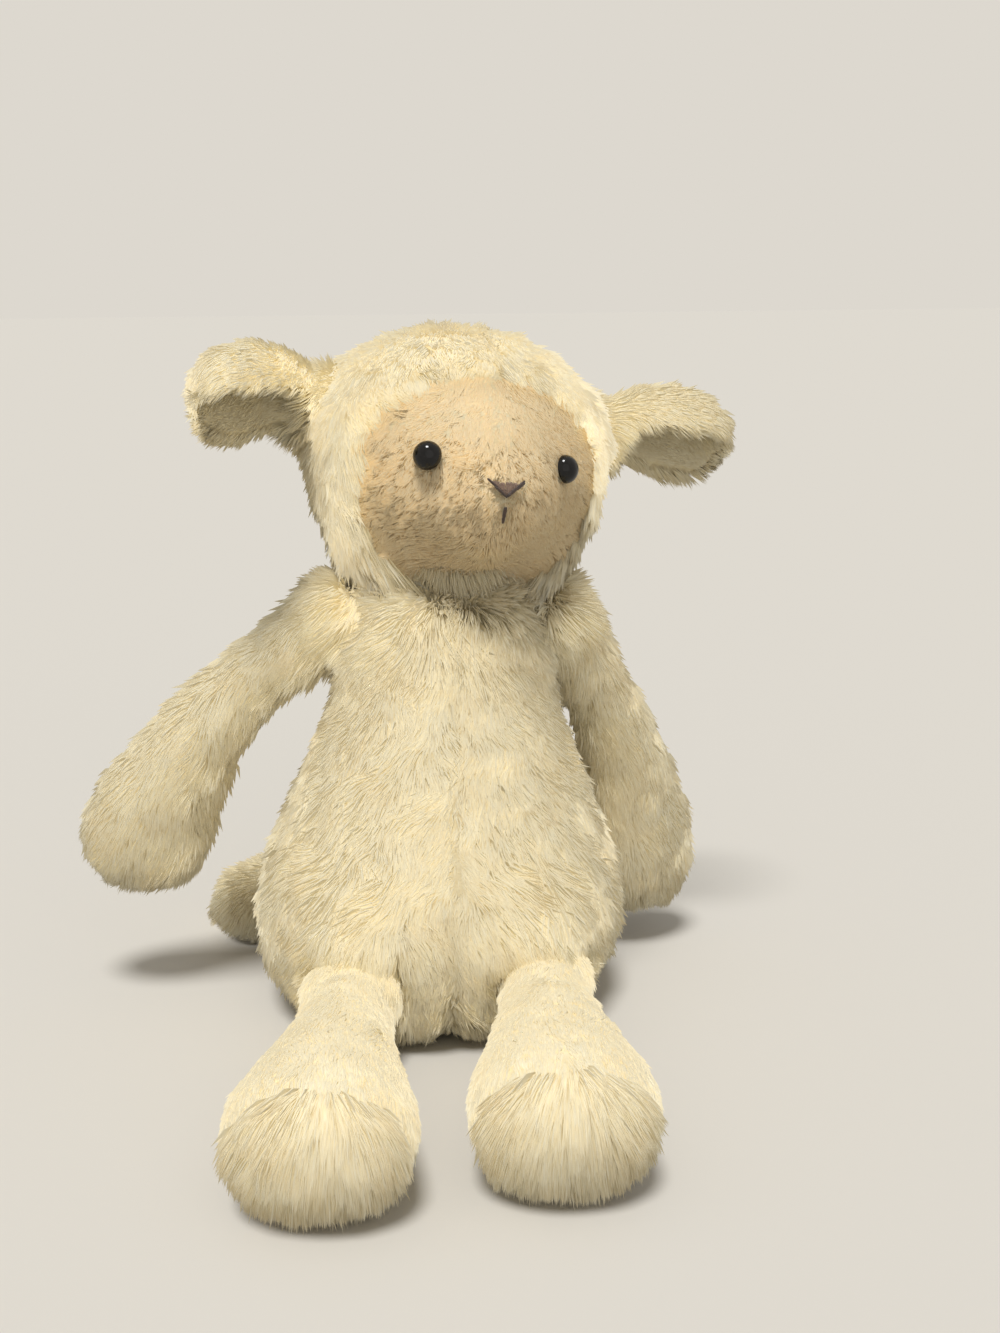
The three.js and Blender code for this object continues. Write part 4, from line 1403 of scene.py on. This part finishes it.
    def fringe(self, points: Points) -> Points:
        """Returns 1 in the fringe round the face's upper border, less away from it."""
        up = rise(self.local(points)[:, 2], 0, self.fringe_depth)
        return up * bell(self.border(points) - self.FRINGE_PLACE, self.FRINGE_WIDTH)

    def by_ears(self, points: Points) -> Points:
        """Returns 1 round the ears' roots, less away from them."""
        near = np.zeros(len(points))
        for side in Side:
            joint = f"{side.value}_ear_flap"
            gap = Spot(self.packed.pivot(joint), ROOTS[joint]).beyond(points)
            near = np.maximum(near, bell(gap, self.ear_wool_width))
        return near

    def face_lay(self, roots: Points, normals: Points) -> Points:
        """Returns the face pile's way: down, and away from the face's middle."""
        side = np.tanh(self.local(roots)[:, 0] / self.cheek_width)
        return ways_of(self.FACE_OUTWARDS * side, 0, -self.FACE_DOWN) @ self.axes.T

    def face_reach(self, points: Points) -> Points:
        """Returns how long the face's pile is: short beside the nose, the mouth and the eyes."""
        place = self.local(points)
        across = np.abs(place[:, 0])
        wide, high = self.BARE_BY_NOSE
        nose = np.hypot(across / wide, (place[:, 2] + self.nose_drop) / high)
        wide, high = self.BARE_BY_MOUTH
        mouth = np.hypot(across / wide, (place[:, 2] + self.mouth_drop) / high)
        near = np.exp(-(nose**3)) * self.SHORTER_BY_NOSE
        near = near + np.exp(-(mouth**3)) * self.SHORTER_BY_MOUTH
        chin = rise(-place[:, 2], self.chin, self.chin_depth)
        return np.clip(1 - near, self.LEAST_LENGTH, 1) * (1 + self.LONGER_ON_CHIN * chin)

    def below_brow(self, points: Points) -> Points:
        """Returns 1 on the lower face, and nearly 0 on the forehead."""
        high = rise(self.local(points)[:, 2], self.brow, self.brow_depth)
        return 1 - self.FEWER_ON_BROW * high

    def face_stand(self, points: Points) -> Points:
        """Returns how steeply the face's pile stands: less on the forehead."""
        high = rise(self.local(points)[:, 2], self.brow / 2, self.brow_depth)
        return 1 - self.FLATTER_ON_BROW * high

    def on_face(self, across: float, up: float, proud: float) -> Vector:
        """Returns a place on the face.

        Args:
            across: to the sheep's left of the face's middle.
            up: above the head's middle.
            proud: how far in front of the face panel.
        Returns:
            The place in the shared frame.
        """
        start = Vector(self.world([across, -self.IN_FRONT, up]))
        hit, slope, _, _ = self.face_tree.ray_cast(start, Vector(self.axes @ np.array([0, 1, 0])))
        return hit + slope * proud

    def _stitches(
        self, name: str, ends: list[tuple[Vector, Vector]], radius: float, finish: str, node: str
    ) -> None:
        """Sews threads on the face.

        Args:
            name: the piece's name.
            ends: where each thread starts and ends.
            radius: half the thread's thickness.
            finish: the thread's finish.
            node: the solid that the stitches stand for, if any.
        """
        pattern = Stitch(radius).build()
        parts = []
        for start, end in ends:
            part = bpy.data.objects.new(name, pattern.data.copy())
            bpy.context.scene.collection.objects.link(part)
            way = end - start
            turn = way.to_track_quat("Z", "Y").to_matrix().to_4x4()
            stretch = Matrix.Diagonal((1, 1, way.length / Stitch.LENGTH, 1))
            part.data.transform(Matrix.Translation((start + end) / 2) @ turn @ stretch)
            parts.append(part)
        bpy.data.objects.remove(pattern)
        select_only(*parts)
        bpy.ops.object.join()
        joined = bpy.context.view_layer.objects.active
        joined.name = name
        dress(joined, finish)
        sew(joined, "head", f"{finish}_thread", *([node] if node else []))

    def _nose(self) -> None:
        """Sews the nose: upright threads in a triangle, and darker ones on its lower edges."""
        half = self.nose_width / 2
        top = -self.nose_drop + self.nose_height / 2
        rng = np.random.default_rng(SEEDS["nose"])
        fill = []
        for across in np.linspace(-self.FILL_SPREAD, self.FILL_SPREAD, self.FILL_THREADS):
            low = top - self.nose_height * (1 - abs(across)) * rng.uniform(*self.FILL_HEIGHTS)
            lean = rng.uniform(-1, 1) * self.FILL_LEAN
            high = top - rng.uniform(0, self.UNEVEN) * MM
            fill.append(
                (
                    self.on_face(across * half + lean, high, -self.FILL_TOP_DEPTH),
                    self.on_face(across * half * self.FILL_TAPER, low, -self.FILL_LOW_DEPTH),
                )
            )
        self._stitches("nose_filling_threads", fill, self.fill_radius, "nose", "nose_stitches")
        edges = []
        low = top - self.nose_height
        for side in (-1, 1):
            for start, end in self.EDGE_THREADS:
                for _ in range(self.EDGE_ROWS):
                    shift = rng.uniform(0, self.UNEVEN) * MM
                    ends = [
                        self.on_face(side * half * at, top - (top - low) * (1 - at) + shift, 0)
                        for at in (start, end)
                    ]
                    edges.append(tuple(ends))
        self._stitches("nose_edge_threads", edges, self.edge_radius, "mouth", "")

    def _mouth(self) -> None:
        """Sews the mouth's short upright stitches."""
        top = -self.mouth_drop + self.mouth_height / 2
        low = top - self.mouth_height
        threads = [
            (
                self.on_face(across, top, -self.MOUTH_DEPTH),
                self.on_face(across + lean, low, -self.MOUTH_DEPTH),
            )
            for across, lean in self.MOUTH_THREADS
        ]
        self._stitches("mouth_threads", threads, self.mouth_radius, "mouth", "mouth_stitches")


@dataclass
class Stitch:
    """One thread, thick in its middle and drawn in at its ends."""

    LENGTH = 1.0
    SIDES = 8
    STRAIGHT = 0.6
    # How far each step at an end goes on, and how narrow it gets
    STEPS = ((0.16, 0.75), (0.04, 0.3))
    # The least slope of a face that counts as an end
    END = 0.9

    radius: float

    def build(self) -> bpy.types.Object:
        """Returns one thread of unit length along Z."""
        bpy.ops.object.select_all(action="DESELECT")
        bpy.ops.mesh.primitive_cylinder_add(
            vertices=self.SIDES,
            radius=self.radius,
            depth=self.LENGTH * self.STRAIGHT,
            end_fill_type="NGON",
        )
        stitch = bpy.context.view_layer.objects.active
        for sign in (-1, 1):
            bpy.ops.object.mode_set(mode="EDIT")
            bpy.ops.mesh.select_mode(type="FACE")
            bpy.ops.mesh.select_all(action="DESELECT")
            shape = bmesh.from_edit_mesh(stitch.data)
            for face in shape.faces:
                face.select = face.normal.z * sign > self.END
            bmesh.update_edit_mesh(stitch.data)
            for step, width in self.STEPS:
                bpy.ops.mesh.extrude_region_move(
                    TRANSFORM_OT_translate={"value": (0, 0, sign * self.LENGTH * step)}
                )
                bpy.ops.transform.resize(value=(width, width, 1))
            bpy.ops.object.mode_set(mode="OBJECT")
        bpy.ops.object.shade_smooth()
        return stitch


@dataclass
class Eye:
    """A domed black safety eye with its shank."""

    SEGMENTS = 40
    RINGS = 24
    # The least slope of a face that counts as the flat back
    BACK = 0.9
    SHARP = math.radians(40)

    packed: Packed
    head: Head
    side: Side
    radius: float = 4.6 * MM
    dome: float = 4.2 * MM
    rim_width: float = 0.35 * MM
    rim_depth: float = 0.25 * MM
    shank_radius: float = 1.5 * MM
    shank_length: float = 7 * MM

    def __post_init__(self) -> None:
        """Finds the eye's axis and base from its solid."""
        points = corners_of(self.packed.nodes[f"{self.side.value}_eye"])
        centre = points.mean(axis=0)
        spread, ways = np.linalg.eigh(np.cov((points - centre).T))
        odd = int(np.argmax([abs(spread[k] - np.delete(spread, k).mean()) for k in range(3)]))
        self.axis = ways[:, odd]
        if self.axis @ (centre - self.head.middle) < 0:
            self.axis = -self.axis
        tip = (points @ self.axis).max()
        across = centre - self.axis * (centre @ self.axis)
        self.base = across + self.axis * (tip - self.dome)

    def build(self) -> bpy.types.Object:
        """Returns the finished eye."""
        bpy.ops.object.select_all(action="DESELECT")
        bpy.ops.mesh.primitive_uv_sphere_add(
            segments=self.SEGMENTS, ring_count=self.RINGS, radius=self.radius
        )
        eye = bpy.context.view_layer.objects.active
        eye.name = f"{self.side.value}_glossy_eye"
        bpy.ops.object.mode_set(mode="EDIT")
        bpy.ops.mesh.select_all(action="SELECT")
        bpy.ops.transform.resize(value=(1, 1, self.dome / self.radius))
        bpy.ops.mesh.bisect(plane_co=(0, 0, 0), plane_no=(0, 0, 1), clear_inner=True, use_fill=True)
        bpy.ops.mesh.select_mode(type="FACE")
        bpy.ops.mesh.select_all(action="DESELECT")
        shape = bmesh.from_edit_mesh(eye.data)
        for face in shape.faces:
            face.select = face.normal.z < -self.BACK
        bmesh.update_edit_mesh(eye.data)
        bpy.ops.mesh.inset(thickness=self.rim_width, depth=self.rim_depth)
        bpy.ops.mesh.inset(thickness=self.radius - self.rim_width - self.shank_radius)
        bpy.ops.mesh.extrude_region_move(
            TRANSFORM_OT_translate={"value": (0, 0, -self.shank_length)}
        )
        bpy.ops.mesh.select_all(action="SELECT")
        bpy.ops.mesh.normals_make_consistent(inside=False)
        bpy.ops.object.mode_set(mode="OBJECT")
        bpy.ops.object.shade_smooth_by_angle(angle=self.SHARP)
        turn = Vector(self.axis).to_track_quat("Z", "Y").to_matrix().to_4x4()
        eye.data.transform(Matrix.Translation(Vector(self.base)) @ turn)
        dress(eye, "eye")
        return sew(eye, "head", "eye", f"{self.side.value}_eye")


# Limbs, ears and tail


@dataclass
class Limb:
    """An arm, a leg, an ear or the tail: a cover with the piles of its panels."""

    ROOT_BLEND = 9 * MM
    STEEPER_AT_ROOT = 0.4
    WAD_VOXEL = 1.8 * MM
    WAD_INSET = 1.2 * MM
    WAD_RELAX = 3

    packed: Packed
    body: str
    joint: str
    panels: tuple[str, ...]
    inside: tuple[str, ...]
    piles: tuple[Pile, ...]
    seed: int
    down: float = 0.35
    root_wool: float = 0.15
    voxel: float = 3.4 * MM
    inset: float = 1.8 * MM
    pressure: float = 4.0
    most_swell: float = 1.8 * MM
    wad: str = ""
    wad_body: str = ""

    def build_covers(self, neighbours: Neighbours) -> None:
        """Makes the cover, and the wad in its root."""
        pivot = self.packed.pivot(self.joint)
        root = Spot(pivot, ROOTS[self.joint])
        self.spine = Spine.of(self.packed, self.panels, root)
        wad = (self.wad,) if self.wad else ()
        self.cover = Cover(
            f"{self.body}_stuffed_cover",
            self.body,
            self.panels + self.inside + wad,
            self.inside,
            voxel=self.voxel,
            inset=self.inset,
            pressure=self.pressure,
            most_swell=self.most_swell,
            roots=[root],
            shape=self.shape,
        ).build(self.packed)
        neighbours.add(self.cover, self.body)
        if self.wad:
            Cover(
                f"{self.wad}_wad",
                self.wad_body,
                (self.wad,),
                (self.wad,),
                slot="fibre_fill",
                finish="fill",
                voxel=self.WAD_VOXEL,
                inset=self.WAD_INSET,
                pressure=0,
                relax=self.WAD_RELAX,
                shape=self.shape,
            ).build(self.packed)

    def shape(self, points: Points) -> Points:
        """Returns the limb's points in their new places, for a limb that isn't round all along."""
        return points

    def build_piles(self, neighbours: Neighbours) -> None:
        """Makes the piles of the limb's panels."""
        on = Panels(self.packed, self.panels)
        for index, (node, pile) in enumerate(zip(self.panels, self.piles)):
            Strands(
                node.replace("_panel", "") + "_pile",
                self.body,
                self.cover,
                pile,
                self.lay_of(node),
                on.share(node),
                self.seed + SEED_STEP * index,
                (node,),
                self.root_reach,
                self.root_stand,
            ).build(neighbours)

    def root_reach(self, points: Points) -> Points:
        """Returns how long the wool is: longer where the limb is sewn on."""
        return 1 + self.root_wool * self.by_root(points)

    def root_stand(self, points: Points) -> Points:
        """Returns how steeply the wool stands: more where the limb is sewn on."""
        return 1 + self.STEEPER_AT_ROOT * self.root_wool * self.by_root(points)

    def by_root(self, points: Points) -> Points:
        """Returns 1 at the limb's root, less away from it."""
        spot = Spot(self.packed.pivot(self.joint), ROOTS[self.joint])
        return bell(spot.beyond(points), self.ROOT_BLEND)

    def lay_of(self, node: str) -> Field:
        """Returns the way in which a panel's pile lies."""
        return self.along_limb

    def along_limb(self, roots: Points, normals: Points) -> Points:
        """Returns the wool's way: along the limb, and down."""
        return self.spine.along(roots) + np.array([0, 0, -self.down])


@dataclass
class Leg(Limb):
    """A leg, flattened where it is sewn on, with long straight pile combed down its sole."""

    STEP = 3 * MM
    BURIED = 24 * MM
    SOLE_SPREAD = 0.4

    root_height: float = 10 * MM
    slope_start: float = 6 * MM
    slope_end: float = 42 * MM
    sole_half_width: float = 22 * MM

    def shape(self, points: Points) -> Points:
        """Lets the leg's upper side slope evenly from its low sewn end to its foot."""
        pivot = self.packed.pivot(self.joint)
        forwards = pivot[1] - points[:, 1]
        height = points[:, 2] - pivot[2]
        places = np.arange(-self.BURIED, self.slope_end + self.STEP, self.STEP)
        slices = [np.abs(forwards - at) < self.STEP for at in places]
        tops = np.array([height[inside].max(initial=MM) for inside in slices])
        wanted = np.interp(places, [self.slope_start, self.slope_end], [self.root_height, tops[-1]])
        share = np.interp(forwards, places, np.minimum(wanted / tops, 1))
        lowered = points.copy()
        lowered[:, 2] = pivot[2] + np.where(height > 0, height * share, height)
        return lowered

    def lay_of(self, node: str) -> Field:
        """Returns the way in which a panel's pile lies."""
        return self.down_sole if "sole" in node else self.along_limb

    def down_sole(self, roots: Points, normals: Points) -> Points:
        """Returns the sole pile's way: down, and slightly out from the foot's middle."""
        centre = self.spine.middles[-1]
        out = np.clip((roots - centre)[:, 0] / self.sole_half_width, -1, 1)
        return ways_of(out * self.SOLE_SPREAD, 0, -1)


def limbs_of(packed: Packed) -> list[Limb]:
    """Returns the arms, legs, ears and tail."""
    wool = Pile(length=8 * MM, density=2.8e6, lift=math.radians(22))
    leg_wool = Pile(
        length=6.5 * MM,
        density=3.2e6,
        lift=math.radians(11),
        fall=math.radians(9),
        swirl=math.radians(14),
        strays=0,
    )
    sole_wool = Pile(
        length=11 * MM,
        density=4.2e6,
        width=0.32 * MM,
        lift=math.radians(18),
        fall=math.radians(10),
        lock=3 * MM,
        gather=0.4,
        swirl=math.radians(9),
        tousle=math.radians(4),
        sag=0.05,
        uneven=0.12,
    )
    ear_wool = Pile(length=7 * MM, density=3e6)
    lining_wool = Pile(
        length=3.4 * MM,
        density=4e6,
        width=0.32 * MM,
        lock=2.5 * MM,
        lift=math.radians(16),
        strays=0,
    )
    tail_wool = Pile(length=9 * MM, density=3e6, lock=5 * MM, lift=math.radians(44))
    limbs: list[Limb] = []
    for index, side in enumerate(Side):
        name = side.value
        limbs.append(
            Limb(
                packed,
                f"{name}_arm",
                f"{name}_arm_swing",
                (f"{name}_arm_front_panel", f"{name}_arm_back_panel"),
                (f"{name}_arm_stuffing",),
                (wool, wool),
                SEEDS["arm"] + SIDE_STEP * index,
                root_wool=0.55,
                wad=f"{name}_shoulder_stuffing",
                wad_body=f"{name}_shoulder",
            )
        )
        limbs.append(
            Leg(
                packed,
                f"{name}_leg",
                f"{name}_leg_lift",
                (
                    f"{name}_leg_outer_panel",
                    f"{name}_leg_inner_panel",
                    f"{name}_sole_panel",
                ),
                (f"{name}_leg_stuffing",),
                (leg_wool, leg_wool, sole_wool),
                SEEDS["leg"] + SIDE_STEP * index,
                wad=f"{name}_hip_stuffing",
                wad_body=f"{name}_hip",
            )
        )
        limbs.append(
            Limb(
                packed,
                f"{name}_ear",
                f"{name}_ear_flap",
                (f"{name}_ear_outer_panel", f"{name}_ear_lining"),
                (),
                (ear_wool, lining_wool),
                SEEDS["ear"] + SIDE_STEP * index,
                root_wool=0.7,
                voxel=1.9 * MM,
                inset=1.3 * MM,
                pressure=0,
            )
        )
    limbs.append(
        Limb(
            packed,
            "tail",
            "tail_wag",
            ("tail_cover",),
            ("tail_stuffing",),
            (tail_wool,),
            SEEDS["tail"],
            voxel=2.6 * MM,
        )
    )
    return limbs


# Studio


@dataclass
class Studio:
    """The camera, the soft light and the plain pale floor."""

    focal: float = 45.91
    azimuth: float = math.radians(-8)
    elevation: float = math.radians(16)
    distance: float = 0.544
    target: tuple[float, float, float] = (0.0214, 0, 0.115)
    floor_size: float = 6.0
    floor_color: tuple = srgb(222, 218, 210)
    bounce_color: tuple = srgb(160, 157, 150)
    sky_color: tuple = srgb(221, 216, 207)
    sky_light: tuple = (1.0, 0.97, 0.92, 1.0)
    sky_strength: float = 0.36
    nearest: float = 0.01
    # The direction that each lamp's light comes from, how wide it looks, and its power
    key_lamp: tuple = ((-0.12, -0.15, 1.0), math.radians(16), 2.0)
    front_lamp: tuple = ((0.1, -1.0, 0.4), math.radians(60), 0.2)
    floor_roughness: float = 0.9

    def build(self) -> None:
        """Makes the camera, the lamps, the world and the floor."""
        scene = bpy.context.scene
        scene.view_settings.view_transform = "Standard"
        back = Vector(
            (
                math.sin(self.azimuth) * math.cos(self.elevation),
                -math.cos(self.azimuth) * math.cos(self.elevation),
                math.sin(self.elevation),
            )
        )
        camera = bpy.data.objects.new("camera", bpy.data.cameras.new("camera"))
        camera.data.lens = self.focal
        camera.data.clip_start = self.nearest
        camera.location = Vector(self.target) + back * self.distance
        camera.rotation_euler = (-back).to_track_quat("-Z", "Y").to_euler()
        scene.collection.objects.link(camera)
        scene.camera = camera
        self._lamp("key_lamp", *self.key_lamp)
        self._lamp("front_lamp", *self.front_lamp)
        self._world(scene)
        self._floor()

    def _lamp(self, name: str, place: tuple, spread: float, power: float) -> None:
        """Hangs a far soft lamp.

        Args:
            name: the lamp's name.
            place: the direction that its light comes from.
            spread: how wide it looks.
            power: its strength.
        """
        data = bpy.data.lights.new(name, "SUN")
        data.angle = spread
        data.energy = power
        lamp = bpy.data.objects.new(name, data)
        lamp.location = place
        lamp.rotation_euler = (-Vector(place)).to_track_quat("-Z", "Y").to_euler()
        bpy.context.scene.collection.objects.link(lamp)

    def _world(self, scene: bpy.types.Scene) -> None:
        """Gives the world an even light, and a pale colour for the camera."""
        world = bpy.data.worlds.new("studio")
        world.use_nodes = True
        tree = world.node_tree
        light = tree.nodes["Background"]
        light.inputs["Color"].default_value = self.sky_light
        light.inputs["Strength"].default_value = self.sky_strength
        seen = tree.nodes.new("ShaderNodeBackground")
        seen.inputs["Color"].default_value = self.sky_color
        path = tree.nodes.new("ShaderNodeLightPath")
        shown = tree.nodes.new("ShaderNodeMath")
        shown.operation = "MAXIMUM"
        mix = tree.nodes.new("ShaderNodeMixShader")
        tree.links.new(path.outputs["Is Camera Ray"], shown.inputs[0])
        tree.links.new(path.outputs["Is Glossy Ray"], shown.inputs[1])
        tree.links.new(shown.outputs["Value"], mix.inputs["Fac"])
        tree.links.new(light.outputs[0], mix.inputs[1])
        tree.links.new(seen.outputs[0], mix.inputs[2])
        tree.links.new(mix.outputs[0], tree.nodes["World Output"].inputs["Surface"])
        scene.world = world

    def _floor(self) -> None:
        """Lays the floor."""
        bpy.ops.object.select_all(action="DESELECT")
        bpy.ops.mesh.primitive_plane_add(size=self.floor_size)
        floor = bpy.context.view_layer.objects.active
        floor.name = "floor"
        nodes = Nodes("floor_paint")
        path = nodes.add("ShaderNodeLightPath")
        mix = nodes.add("ShaderNodeMix", data_type="RGBA")
        seen = nodes.add("ShaderNodeMath", operation="MAXIMUM")
        nodes.link(path.outputs["Is Camera Ray"], seen.inputs[0])
        nodes.link(path.outputs["Is Glossy Ray"], seen.inputs[1])
        nodes.link(seen.outputs["Value"], mix.inputs["Factor"])
        mix.inputs["A"].default_value = self.bounce_color
        mix.inputs["B"].default_value = self.floor_color
        nodes.link(mix.outputs["Result"], nodes.shader.inputs["Base Color"])
        nodes.set(Roughness=self.floor_roughness, Specular_IOR_Level=0)
        floor.data.materials.append(nodes.material)


def main() -> None:
    """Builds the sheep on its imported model, and the studio round it."""
    logging.basicConfig(level=logging.INFO, format="%(message)s")
    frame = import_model()
    joints = {joint["name"]: joint for joint in frame["joints"]}
    packed = Packed(frame["nodes"], joints)
    Studio().build()
    neighbours = Neighbours()
    parts = [Torso(packed), Head(packed), *limbs_of(packed)]
    for part in parts:
        part.build_covers(neighbours)
    for part in parts:
        part.build_piles(neighbours)


if __name__ == "__main__":
    main()
